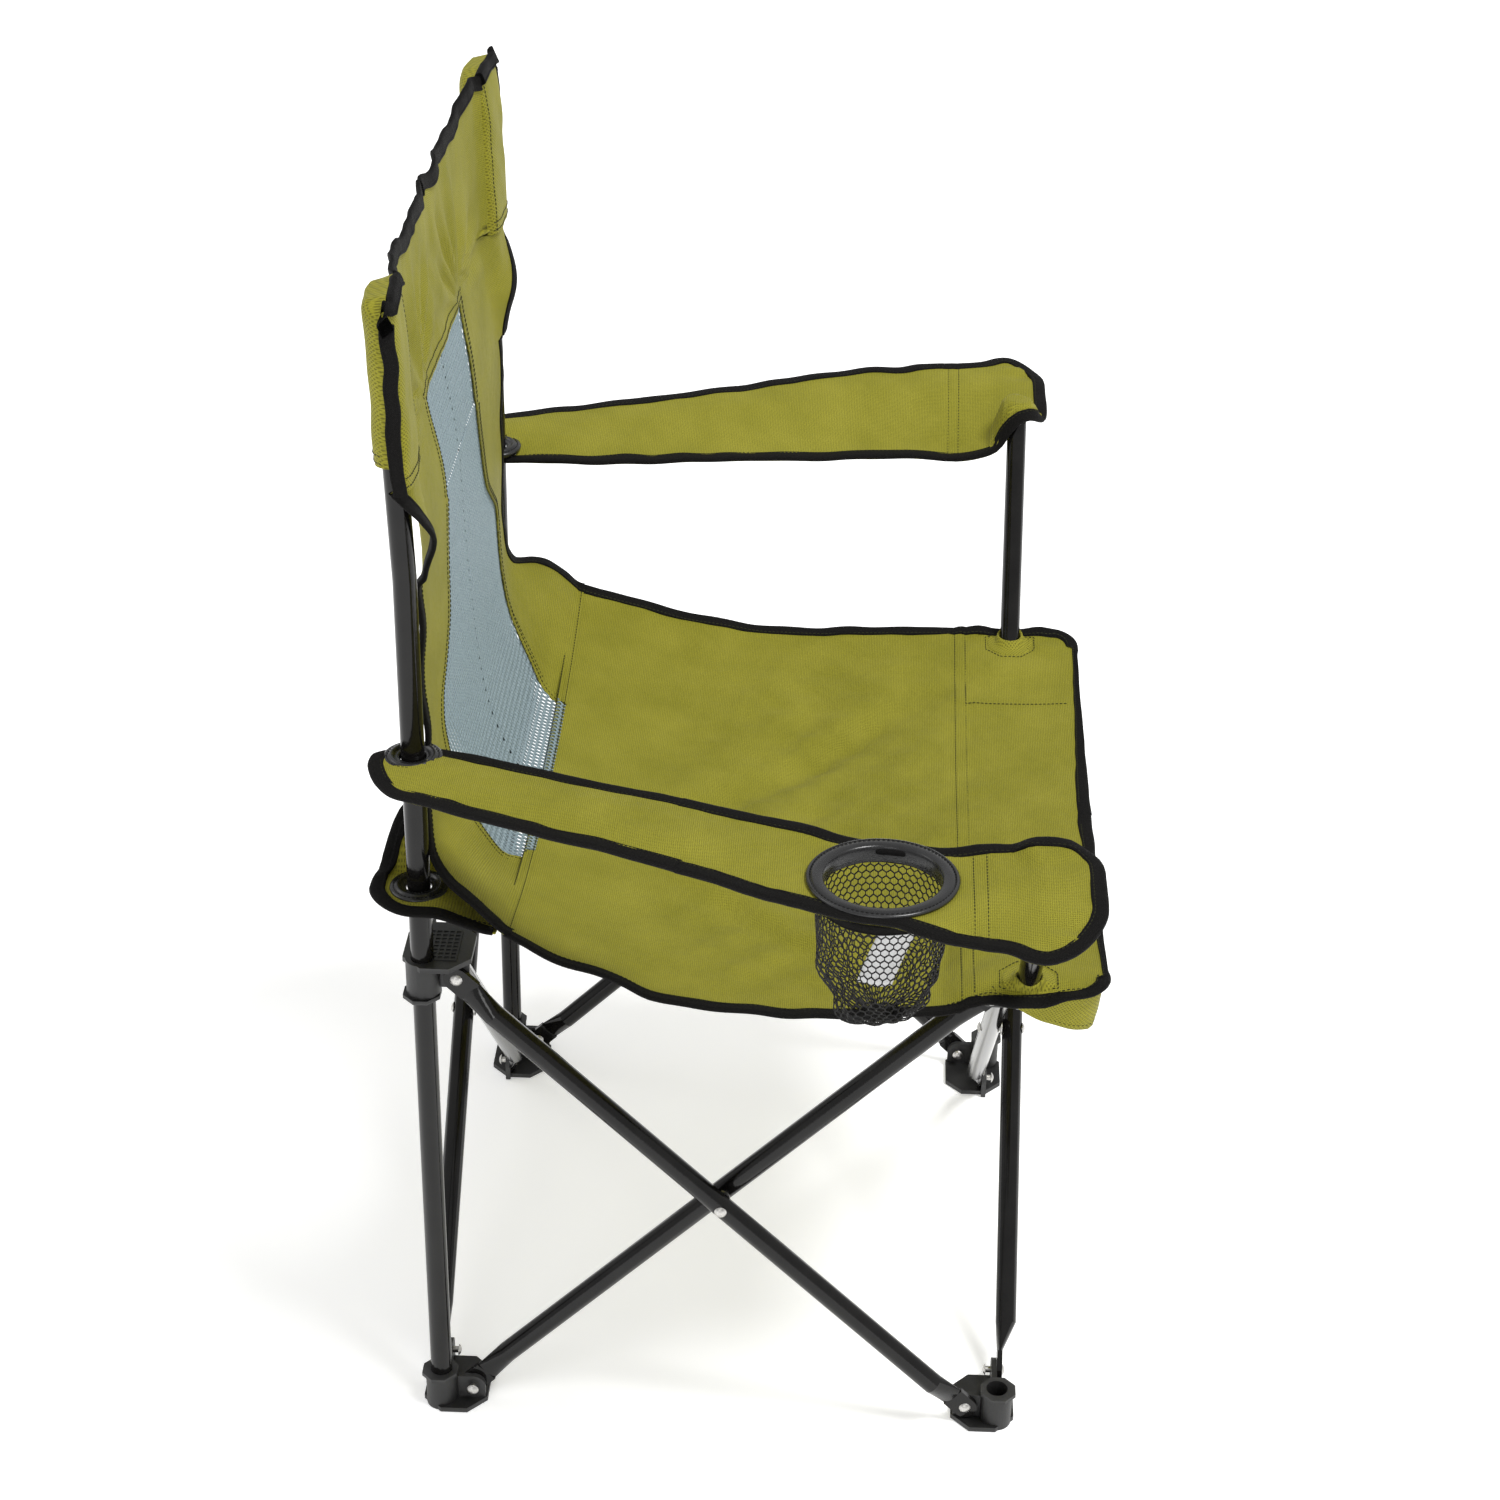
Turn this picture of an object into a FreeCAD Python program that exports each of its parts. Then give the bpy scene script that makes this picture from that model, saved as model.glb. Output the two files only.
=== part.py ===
import FreeCAD, Part
import math
import os
import re

# A folding quad camp chair on four fixed feet. Millimetres, +Z up, the sitter faces -Y.
# Every upright strut pair is a scissor: four scissors join four feet to four upper hubs.
# The origin is the middle of the chair's bounding box, on the floor.

SIZES = {
    # tubes
    "tube_radius": 8.0,
    "tube_wall": 1.0,
    # the plan of the frame: the tube bores in the feet stand on this rectangle
    "bore_apart_side": 450.0,
    "bore_apart_deep": 420.0,
    # scissor pivots: how far in from the bores, on the side where the bores are closest
    "pivot_in": 23.5,
    "hub_pivot_height": 391.0,
    # corner mouldings, both feet and hubs
    "plate_thick": 4.0,
    "plate_short": 48.0,
    "plate_long": 58.0,
    "plate_inward": 10.0,
    "plate_corner_cut": 14.0,
    "pivot_to_plate": 15.0,
    "web_thick": 4.0,
    "web_behind_bore": 1.0,
    "web_round": 9.0,
    "collar_radius": 12.0,
    "collar_height": 31.0,
    "flange_thick": 3.0,
    "flange_outward": 14.0,
    "flange_clearance": 2.5,
    "flange_corner_cut": 8.0,
    "foot_floor": 4.0,
    "rib_wide": 1.2,
    "rib_high": 0.6,
    "rib_pitch": 4.5,
    "rib_margin": 1.5,
    # struts: a tube with both ends pressed flat
    "flat_thick": 4.0,
    "flat_half_wide": 9.0,
    "flat_length": 14.0,
    "taper_length": 22.0,
    "strut_stand_off": 8.75,
    # rivets
    "rivet_radius": 2.5,
    "rivet_head_radius": 4.5,
    "rivet_head_high": 2.2,
    "shoulder_radius": 6.0,
    # back poles and arm posts
    "pole_bend_height": 700.0,
    "pole_lean": 2.0,
    "pole_bend_radius": 120.0,
    "pole_top_height": 894.0,
    "post_lean": 33.0,
    "post_rise": 193.0,
    "post_taper_length": 10.0,
    "ear_thick": 4.0,
    "cap_rim_high": 1.5,
    "cap_dome_high": 2.5,
    "cap_stem_long": 16.0,
    # grommets, by their height over the hubs' plates
    "grommet_hole_radius": 13.0,
    "grommet_rim_radius": 19.5,
    "grommet_high": 5.0,
    "rear_grommet_over_hub": 58.0,
    "patch_over_hub": 10.0,
    "arm_grommet_over_hub": 161.0,
    # seat cloth: widths beyond the tube bores, reaches beyond them, heights over the hubs
    "cloth_thick": 3.0,
    "seat_front_ahead": 55.0,
    "seat_front_out": 22.0,
    "seat_middle_out": 45.0,
    "seat_rear_out": 39.0,
    "seat_front_over_hub": 8.0,
    "seat_side_dip": 23.0,
    "seat_middle_dip": 19.0,
    "seam_ahead_of_pole": 58.0,
    "seam_over_hub": 30.0,
    "ear_in": 39.0,
    "ear_behind": 27.0,
    # backrest cloth and its corner pockets
    "back_edge_in": 11.0,
    "back_top_drop": 6.0,
    "belly_share": 0.45,
    "belly_over_seam": 78.0,
    "back_slack": 3.0,
    "slack_over_grommet": 30.0,
    "mesh_top_over_seam": 330.0,
    "mesh_waist_over_seam": 264.0,
    "mesh_belly_over_seam": 100.0,
    "mesh_foot_over_seam": 10.0,
    "mesh_top_half_wide": 88.0,
    "mesh_waist_half_wide": 78.0,
    "mesh_belly_half_wide": 145.0,
    "mesh_foot_half_wide": 122.0,
    "mesh_below_seam": 20.0,
    "pocket_wide": 62.0,
    "pocket_half_deep": 11.0,
    "pocket_long": 118.0,
    "pocket_round_share": 0.9,
    # armrest cloth: how far out its edges run from the tube bores
    "arm_inner_middle_out": 75.0,
    "arm_inner_front_out": 109.0,
    "arm_outer_rear_out": 73.0,
    "arm_outer_middle_out": 167.0,
    "arm_outer_front_out": 237.0,
    "arm_corner": 22.0,
    "arm_front_ahead": 35.0,
    "arm_crease_behind": 25.0,
    "arm_flat_over_hub": 175.0,
    # cup holder in the right arm
    "cup_out": 153.0,
    "cup_behind_post": 105.0,
    "cup_ring_radius": 48.0,
    "cup_hole_radius": 37.5,
    "cup_ring_thick": 3.0,
    "cup_collar_radius": 40.5,
    "cup_collar_deep": 9.0,
    "cup_ring_lift": 0.2,
    "net_wall": 1.5,
    "net_bottom_radius": 29.0,
    "net_deep": 84.0,
    "net_over_collar": 5.0,
    # clearances
    "bore_clearance": 0.3,
    "foot_fit": 0.1,
    "rivet_clearance": 0.1,
    "side_clearance": 0.3,
    "cloth_clearance": 0.4,
    "cap_clearance": 0.1,
}

doc = FreeCAD.newDocument("folding_camp_chair")
sheet = doc.addObject("Spreadsheet::Sheet", "Sizes")


def put_in_sheet(name, value):
    row = len(sheet_rows) + 1
    sheet_rows.append(name)
    sheet.set("A%d" % row, name)
    sheet.set("B%d" % row, repr(float(value)))
    sheet.setAlias("B%d" % row, name)


sheet_rows = []
for size_name, size_value in SIZES.items():
    put_in_sheet(size_name, size_value)
doc.recompute()


def size(name):
    return float(sheet.get(name))


def derive(name, value):
    """A size that follows from others, kept in the sheet so that the objects can be bound to it."""
    put_in_sheet(name, value)
    doc.recompute()
    return value


# ---------------------------------------------------------------- sizes that follow
tube = size("tube_radius")
bore_x = derive("bore_x", size("bore_apart_side") / 2)
bore_y = derive("bore_y", size("bore_apart_deep") / 2)
pivot_half = derive("pivot_half", min(bore_x, bore_y) - size("pivot_in"))
pivot_in_side = derive("pivot_in_side", bore_x - pivot_half)
pivot_in_deep = derive("pivot_in_deep", bore_y - pivot_half)
strut_rise = derive("strut_rise", size("hub_pivot_height") - size("pivot_to_plate"))
strut_length = derive("strut_length", math.hypot(2 * pivot_half, strut_rise))
strut_angle = math.degrees(math.atan2(strut_rise, 2 * pivot_half))
hub_top = derive("hub_top", size("hub_pivot_height") + size("pivot_to_plate"))
seat_front_height = derive("seat_front_height", hub_top + size("seat_front_over_hub"))
seam_height = derive("seam_height", hub_top + size("seam_over_hub"))
seat_grommet_rear_height = derive("seat_grommet_rear_height", hub_top + size("rear_grommet_over_hub"))
seat_patch_height = derive("seat_patch_height", hub_top + size("patch_over_hub"))
arm_grommet_height = derive("arm_grommet_height", hub_top + size("arm_grommet_over_hub"))
arm_flat_height = derive("arm_flat_height", hub_top + size("arm_flat_over_hub"))
post_top_height = derive("post_top_height", size("hub_pivot_height") + size("post_rise"))
seat_front_reach = bore_y + size("seat_front_ahead")
seam_reach = bore_y - size("seam_ahead_of_pole")
ear_reach = bore_y + size("ear_behind")
ear_inner = bore_x - size("ear_in")
back_half_wide = bore_x - size("back_edge_in")
back_top_height = size("pole_top_height") - size("back_top_drop")
arm_front_reach = bore_y + size("arm_front_ahead")
cup_side = derive("cup_side", bore_x + size("cup_out"))
cup_forward = derive("cup_forward", bore_y - size("cup_behind_post"))
flat_from = derive("flat_from", size("web_thick") / 2 + size("side_clearance"))
flat_to = derive("flat_to", flat_from + size("flat_thick"))
head_high = size("rivet_head_high")
head_ball = derive("head_ball", (size("rivet_head_radius") ** 2 + head_high ** 2) / (2 * head_high))
pole_slope = math.tan(math.radians(size("pole_lean")))
pole_top_back = bore_y + (size("pole_top_height") - size("pole_bend_height")) * pole_slope
over_cap = size("cap_rim_high") + size("cap_dome_high") + size("cloth_clearance") + size("cloth_thick")
pole_lean_cosine = math.cos(math.radians(size("pole_lean")))
pocket_back = pole_top_back + (over_cap * pole_slope + size("pocket_half_deep")) * pole_lean_cosine
centre_y = derive("centre_y", (seat_front_reach - pocket_back) / 2)
post_slope = math.tan(math.radians(size("post_lean")))
cap_wide = tube + size("tube_wall") / 2
lean_in_radians = math.radians(size("post_lean"))
post_cap_high = size("cap_rim_high") * math.cos(lean_in_radians) + cap_wide * math.sin(lean_in_radians)
arm_front_height = derive("arm_front_height", post_top_height + post_cap_high
                          + size("cloth_clearance") + size("cloth_thick"))
post_top_side = bore_x + (post_top_height - size("hub_pivot_height")) * post_slope


# ---------------------------------------------------------------- small tools
def bound(text):
    """An expression on the sheet's cells, from one written with their bare names."""
    def cell(word):
        return "Sizes." + word.group() if word.group() in sheet_rows else word.group()

    return re.sub(r"[a-z_]+", cell, text)


def bind(thing, **properties):
    for name, text in properties.items():
        thing.setExpression(name.replace("_", "."), bound(text))
    return thing


def at(thing, x, y, z):
    thing.setExpression("Placement.Base.x", bound(x))
    thing.setExpression("Placement.Base.y", bound(y))
    thing.setExpression("Placement.Base.z", bound(z))
    return thing


def block(name, across, deep, high, x, y, z):
    """A box by its three sizes and its middle."""
    made = doc.addObject("Part::Box", name)
    bind(made, Length=across, Width=deep, Height=high)
    return at(made, "%s - (%s) / 2" % (x, across), "%s - (%s) / 2" % (y, deep), "%s - (%s) / 2" % (z, high))


def rod(name, radius, length, x, y, z, axis):
    """A cylinder by its middle, along X, Y or Z."""
    made = doc.addObject("Part::Cylinder", name)
    bind(made, Radius=radius, Height=length)
    half = " - (%s) / 2" % length
    turn = {"x": ((0, 1, 0), 90), "y": ((1, 0, 0), -90), "z": ((0, 0, 1), 0)}[axis]
    made.Placement.Rotation = FreeCAD.Rotation(FreeCAD.Vector(*turn[0]), turn[1])
    place = {"x": x, "y": y, "z": z}
    place[axis] += half
    return at(made, place["x"], place["y"], place["z"])


def rivet_head(name, place, axis, sign):
    """The cap of a ball, its flat side on the given place, pointing along plus or minus the axis."""
    made = doc.addObject("Part::Sphere", name)
    bind(made, Radius="head_ball", Angle1="asin((head_ball - rivet_head_high) / head_ball)")
    direction = FreeCAD.Vector(sign if axis == "x" else 0, sign if axis == "y" else 0, 0)
    made.Placement.Rotation = FreeCAD.Rotation(FreeCAD.Vector(0, 0, 1), direction)
    centre = dict(place)
    centre[axis] += " - %d * (head_ball - rivet_head_high)" % sign
    return at(made, centre["x"], centre["y"], centre["z"])


def fuse(name, pieces):
    made = doc.addObject("Part::MultiFuse", name)
    made.Shapes = pieces
    made.Refine = True
    return made


def common(name, pieces):
    made = doc.addObject("Part::MultiCommon", name)
    made.Shapes = pieces
    return made


def cut(name, base, tools):
    """The base with all the tools taken away."""
    made = doc.addObject("Part::Cut", name)
    made.Base = base
    made.Tool = tools[0] if len(tools) == 1 else fuse(name + "_tools", tools)
    return made


def feature(name, shape, label=None):
    made = doc.addObject("Part::Feature", name)
    made.Shape = shape
    made.Label = label or name
    return made


nodes = []


def keep(thing, label):
    """Names a finished sub-part and puts it on the list of nodes to write."""
    thing.Label = label
    nodes.append(thing)
    return thing


# ---------------------------------------------------------------- corner mouldings
CORNERS = {
    "rear_right": (-1, 1),
    "rear_left": (1, 1),
    "front_right": (-1, -1),
    "front_left": (1, -1),
}


class Corner:
    """Places in one corner moulding: u and v run outward from its tube bore, w runs from its plate."""

    def __init__(self, side, end, upper):
        self.side, self.end, self.upper = side, end, upper

    def x(self, u):
        return "%d * (bore_x + (%s))" % (self.side, u)

    def y(self, v):
        return "centre_y + %d * (bore_y + (%s))" % (self.end, v)

    def z(self, w):
        return "hub_top - (%s)" % w if self.upper else "(%s)" % w


def plate(name, c):
    """The stretched octagon that a foot stands on, or that caps a hub."""
    across = "0 - plate_inward - (plate_long - plate_short) / 2"
    slab = block(name + "_slab", "plate_long", "plate_short", "plate_thick",
                 c.x(across), c.y("0 - plate_inward"), c.z("plate_thick / 2"))
    reach = "((plate_long + plate_short) / 2 - plate_corner_cut)"
    turned = doc.addObject("Part::Box", name + "_corner_cut")
    bind(turned, Length=reach + " * sqrt(2)", Width=reach + " * sqrt(2)", Height="plate_thick")
    turned.Placement.Rotation = FreeCAD.Rotation(FreeCAD.Vector(0, 0, 1), 45)
    low = c.z("plate_thick" if c.upper else "0")
    at(turned, c.x(across), "%s - %s" % (c.y("0 - plate_inward"), reach), low)
    return common(name + "_plate", [slab, turned])


def flange(name, c):
    """The small plate round a collar's free end, which stays clear of the struts as they fold."""
    inward = "(pivot_in - flat_half_wide - flange_clearance)"
    middle = "(flange_outward - %s) / 2" % inward
    span = "(flange_outward + %s)" % inward
    w = "collar_height - flange_thick / 2"
    slab = block(name + "_flange_slab", span, span, "flange_thick", c.x(middle), c.y(middle), c.z(w))
    reach = "(%s - flange_corner_cut)" % span
    turned = doc.addObject("Part::Box", name + "_flange_corner_cut")
    bind(turned, Length=reach + " * sqrt(2)", Width=reach + " * sqrt(2)", Height="flange_thick")
    turned.Placement.Rotation = FreeCAD.Rotation(FreeCAD.Vector(0, 0, 1), 45)
    low = c.z("collar_height" if c.upper else "collar_height - flange_thick")
    at(turned, c.x(middle), "%s - %s" % (c.y(middle), reach), low)
    return common(name + "_flange", [slab, turned])


def web(name, c, along):
    """One upright web with a round nose, which a scissor's two flat ends ride on."""
    inward = "pivot_in_deep" if along == "deep" else "pivot_in_side"

    def part_of_web(tag, length, high, start, w):
        middle = "0 - (%s) - (%s) / 2" % (start, length)
        if along == "deep":
            plane = c.x("0 - web_behind_bore")
            return block(name + tag, "web_thick", length, high, plane, c.y(middle), c.z(w))
        return block(name + tag, length, "web_thick", high, c.x(middle), c.y("0 - web_behind_bore"), c.z(w))

    start = "tube_radius + bore_clearance + tube_wall"
    low = part_of_web("_web_low", inward + " + web_round - (%s)" % start, "pivot_to_plate", start,
                      "pivot_to_plate / 2")
    high = part_of_web("_web_high", inward + " - (%s)" % start, "web_round", start,
                       "pivot_to_plate + web_round / 2")
    if along == "deep":
        nose = rod(name + "_web_nose", "web_round", "web_thick", c.x("0 - web_behind_bore"),
                   c.y("0 - (%s)" % inward), c.z("pivot_to_plate"), "x")
    else:
        nose = rod(name + "_web_nose", "web_round", "web_thick", c.x("0 - (%s)" % inward),
                   c.y("0 - web_behind_bore"), c.z("pivot_to_plate"), "y")
    return [low, high, nose]


def pivot_holes(name, c):
    hole = "rivet_radius + rivet_clearance"
    long_hole = "web_thick * 3"
    return [
        rod(name + "_side_hole", hole, long_hole, c.x("0 - web_behind_bore"), c.y("0 - pivot_in_deep"),
            c.z("pivot_to_plate"), "x"),
        rod(name + "_cross_hole", hole, long_hole, c.x("0 - pivot_in_side"), c.y("0 - web_behind_bore"),
            c.z("pivot_to_plate"), "y"),
    ]


def ribs(name, c):
    """The raised grid on a hub's plate."""
    middle_u = "0 - plate_inward - (plate_long - plate_short) / 2"
    corners = "plate_corner_cut * rib_margin"
    made = []
    for k in range(-4, 5):
        rib_u = "%s + %d * rib_pitch" % (middle_u, k)
        made.append(block("%s_rib_u%d" % (name, k + 4), "rib_wide", "plate_short - " + corners,
                          "rib_high * 2", c.x(rib_u), c.y("0 - plate_inward"), c.z("0")))
    for k in range(-3, 4):
        rib_v = "0 - plate_inward + %d * rib_pitch" % k
        made.append(block("%s_rib_v%d" % (name, k + 3), "plate_long - " + corners, "rib_wide", "rib_high * 2",
                          c.x(middle_u), c.y(rib_v), c.z("0")))
    return made


def foot(corner):
    c = Corner(*CORNERS[corner], upper=False)
    name = "foot_" + corner
    collar = rod(name + "_collar", "collar_radius", "collar_height", c.x("0"), c.y("0"),
                 c.z("collar_height / 2"), "z")
    body = fuse(name + "_solid", [plate(name, c), collar, flange(name, c)] + web(name + "_side", c, "deep")
                + web(name + "_cross", c, "side"))
    bore = rod(name + "_bore", "tube_radius + foot_fit", "collar_height", c.x("0"), c.y("0"),
               c.z("foot_floor + collar_height / 2"), "z")
    return keep(cut(name, body, [bore] + pivot_holes(name, c)), name)


def slider(corner):
    """A rear hub: its collar runs up and down the back pole as the chair folds."""
    c = Corner(*CORNERS[corner], upper=True)
    name = "slider_hub_" + corner
    collar = rod(name + "_collar", "collar_radius", "collar_height", c.x("0"), c.y("0"),
                 c.z("collar_height / 2"), "z")
    body = fuse(name + "_solid", [plate(name, c), collar, flange(name, c)] + web(name + "_side", c, "deep")
                + web(name + "_cross", c, "side") + ribs(name, c))
    bore = rod(name + "_bore", "tube_radius + bore_clearance", "collar_height * 3", c.x("0"), c.y("0"),
               c.z("collar_height / 2"), "z")
    return keep(cut(name, body, [bore] + pivot_holes(name, c)), name)


def fork_hub(corner):
    """A front hub: two ears under its plate carry the arm post, which leans out through a slot."""
    c = Corner(*CORNERS[corner], upper=True)
    name = "fork_hub_" + corner
    gap = "flat_thick / 2 + side_clearance"
    ears = []
    for tag, sign in (("outer", 1), ("inner", -1)):
        v = "%d * (%s + ear_thick / 2)" % (sign, gap)
        ears.append(block("%s_ear_%s" % (name, tag), "web_round * 2", "ear_thick", "pivot_to_plate",
                          c.x("0"), c.y(v), c.z("pivot_to_plate / 2")))
        ears.append(rod("%s_ear_nose_%s" % (name, tag), "web_round", "ear_thick", c.x("0"), c.y(v),
                        c.z("pivot_to_plate"), "y"))
    body = fuse(name + "_solid", [plate(name, c)] + ears + web(name + "_side", c, "deep")
                + web(name + "_cross", c, "side") + ribs(name, c))
    slot_half = "(flat_half_wide + bore_clearance + 1)"
    slot_reach = "(plate_long + %s)" % slot_half
    slot = block(name + "_slot", slot_reach, "flat_thick + side_clearance * 2", "hub_top",
                 c.x("%s / 2 - %s" % (slot_reach, slot_half)), c.y("0"), c.z("0"))
    pin_hole = rod(name + "_pin_hole", "rivet_radius + rivet_clearance", "ear_thick * 6", c.x("0"), c.y("0"),
                   c.z("pivot_to_plate"), "y")
    return keep(cut(name, body, [slot, pin_hole] + pivot_holes(name, c)), name)


# ---------------------------------------------------------------- rivets
def rivet(name, half_long, x, y, z, axis):
    """A shaft with a domed head at each end."""
    shaft = rod(name + "_shaft", "rivet_radius", "2 * (%s)" % half_long, x, y, z, axis)
    pieces = [shaft]
    for sign in (1, -1):
        place = {"x": x, "y": y, "z": z}
        place[axis] += " + %d * (%s)" % (sign, half_long)
        pieces.append(rivet_head("%s_head%d" % (name, (sign + 1) // 2), place, axis, sign))
    return fuse(name, pieces)


def corner_rivets(corner, upper):
    """The two pins of one moulding: one through its side web, one through its cross web."""
    c = Corner(*CORNERS[corner], upper=upper)
    name = ("hub_rivets_" if upper else "foot_rivets_") + corner
    reach = "flat_to + rivet_clearance"
    pair = [
        rivet(name + "_side", reach, c.x("0 - web_behind_bore"), c.y("0 - pivot_in_deep"),
              c.z("pivot_to_plate"), "x"),
        rivet(name + "_cross", reach, c.x("0 - pivot_in_side"), c.y("0 - web_behind_bore"),
              c.z("pivot_to_plate"), "y"),
    ]
    if upper and "front" in corner:
        half = "flat_thick / 2 + side_clearance + ear_thick + rivet_clearance"
        pair.append(rivet(name + "_post", half, c.x("0"), c.y("0"), c.z("pivot_to_plate"), "y"))
    made = doc.addObject("Part::Compound", name)
    made.Links = pair
    return keep(made, name)


SCISSORS = {
    # name: (direction of the mid-plane's outward normal)
    "right": (-1, 0),
    "left": (1, 0),
    "front": (0, -1),
    "rear": (0, 1),
}
middle_height = derive("middle_height", size("pivot_to_plate") + strut_rise / 2)
plane_x = derive("plane_x", bore_x - size("web_behind_bore"))
plane_y = derive("plane_y", bore_y - size("web_behind_bore"))


def crossing_rivet(scissor):
    """The pin where two struts cross, with a shoulder that keeps them apart."""
    nx, ny = SCISSORS[scissor]
    name = "crossing_rivet_" + scissor
    axis = "x" if nx else "y"
    x = "%d * plane_x" % nx
    y = "centre_y + %d * plane_y" % ny
    half = "strut_stand_off + tube_radius + rivet_clearance"
    pin = rivet(name + "_pin", half, x, y, "middle_height", axis)
    shoulder = rod(name + "_shoulder", "shoulder_radius",
                   "2 * (strut_stand_off - tube_radius - rivet_clearance)", x, y, "middle_height", axis)
    return keep(fuse(name, [pin, shoulder]), name)


# ---------------------------------------------------------------- struts
def flat_end(name, sign):
    """One pressed end of a strut that lies along X, with its tube's centre line at Y strut_stand_off."""
    end_x = "%d * strut_length / 2" % sign
    pad = block(name + "_pad", "flat_length", "flat_thick", "flat_half_wide * 2",
                "%s - %d * flat_length / 2" % (end_x, sign), "(flat_from + flat_to) / 2", "0")
    nose = rod(name + "_nose", "flat_half_wide", "flat_thick", end_x, "(flat_from + flat_to) / 2", "0", "y")
    to_x = FreeCAD.Rotation(FreeCAD.Vector(0, 1, 0), 90)
    thin = doc.addObject("Part::Ellipse", name + "_thin")
    bind(thin, MajorRadius="flat_half_wide", MinorRadius="flat_thick / 2")
    thin.Placement.Rotation = to_x
    at(thin, "%s - %d * (flat_length - tube_wall)" % (end_x, sign), "(flat_from + flat_to) / 2", "0")
    full = doc.addObject("Part::Circle", name + "_full")
    bind(full, Radius="tube_radius")
    full.Placement.Rotation = to_x
    at(full, "%s - %d * (flat_length + taper_length)" % (end_x, sign), "strut_stand_off", "0")
    taper = doc.addObject("Part::Loft", name + "_taper")
    taper.Sections = [thin, full]
    taper.Solid = True
    return [pad, nose, taper]


def strut_pattern():
    """The one strut that all eight copies are placed from."""
    straight = "strut_length - 2 * (flat_length + taper_length)"
    outside = rod("strut_tube", "tube_radius", straight, "0", "strut_stand_off", "0", "x")
    inside = rod("strut_inside", "tube_radius - tube_wall", straight + " - 2 * tube_wall",
                 "0", "strut_stand_off", "0", "x")
    whole = fuse("strut_whole", [outside] + flat_end("strut_end_a", 1) + flat_end("strut_end_b", -1))
    hole = "rivet_radius + rivet_clearance"
    holes = [
        rod("strut_hole_a", hole, "tube_radius * 6", "strut_length / 2", "0", "0", "y"),
        rod("strut_hole_b", hole, "tube_radius * 6", "0 - strut_length / 2", "0", "0", "y"),
        rod("strut_hole_middle", hole, "tube_radius * 6", "0", "0", "0", "y"),
    ]
    return cut("strut_pattern", whole, [inside] + holes)


def strut(scissor, outer, rising, pattern):
    """One placed strut. Rising is the horizontal direction in which it climbs, as (x, y)."""
    nx, ny = SCISSORS[scissor]
    sign = 1 if outer else -1
    tilt = math.radians(strut_angle)
    along = FreeCAD.Vector(rising[0] * math.cos(tilt), rising[1] * math.cos(tilt), math.sin(tilt))
    normal = FreeCAD.Vector(sign * nx, sign * ny, 0)
    name = "strut_%s_%s" % (scissor, "outer" if outer else "inner")
    made = feature(name, pattern.Shape.copy())
    middle = FreeCAD.Vector(nx * plane_x, centre_y + ny * plane_y, middle_height)
    made.Placement = FreeCAD.Placement(middle, FreeCAD.Rotation(along, normal, FreeCAD.Vector(), "XYZ"))
    return keep(made, name)


# ---------------------------------------------------------------- poles, posts and their caps
def back_pole(side, name):
    """A tube from the floor of its foot, straight up, then leaning back above one bend."""
    x, y = side * bore_x, centre_y + bore_y
    lean = math.radians(size("pole_lean"))
    radius, bend = size("pole_bend_radius"), size("pole_bend_height")
    cut_back = radius * math.tan(lean / 2)
    start = FreeCAD.Vector(x, y, size("foot_floor"))
    before = FreeCAD.Vector(x, y, bend - cut_back)
    halfway = FreeCAD.Vector(x, y + radius * (1 - math.cos(lean / 2)), before.z + radius * math.sin(lean / 2))
    after = FreeCAD.Vector(x, y + radius * (1 - math.cos(lean)), before.z + radius * math.sin(lean))
    top = FreeCAD.Vector(x, centre_y + pole_top_back, size("pole_top_height"))
    path = Part.Wire([
        Part.makeLine(start, before),
        Part.Arc(before, halfway, after).toShape(),
        Part.makeLine(after, top),
    ])
    up = FreeCAD.Vector(0, 0, 1)
    rim = Part.Wire(Part.makeCircle(tube, start, up))
    hollow = Part.Wire(Part.makeCircle(tube - size("tube_wall"), start, up))
    outside = path.makePipeShell([rim], True, True)
    inside = path.makePipeShell([hollow], True, True)
    return keep(feature(name, outside.cut(inside)), name)


def end_cap(name, point, direction):
    """A plug for a tube's open end: a stem inside it, a rim on it and a low dome."""
    stem_long, rim_high, high = size("cap_stem_long"), size("cap_rim_high"), size("cap_dome_high")
    bore = tube - size("tube_wall") - size("cap_clearance")
    stem = Part.makeCylinder(bore, stem_long, FreeCAD.Vector(0, 0, -stem_long))
    rim = Part.makeCylinder(cap_wide, rim_high)
    ball = (cap_wide ** 2 + high ** 2) / (2 * high)
    dome = Part.makeSphere(ball, FreeCAD.Vector(0, 0, rim_high + high - ball))
    lid = dome.common(Part.makeCylinder(cap_wide, high, FreeCAD.Vector(0, 0, rim_high)))
    made = feature(name, stem.fuse([rim, lid]).removeSplitter())
    made.Placement = FreeCAD.Placement(point, FreeCAD.Rotation(FreeCAD.Vector(0, 0, 1), direction))
    return keep(made, name)


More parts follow.
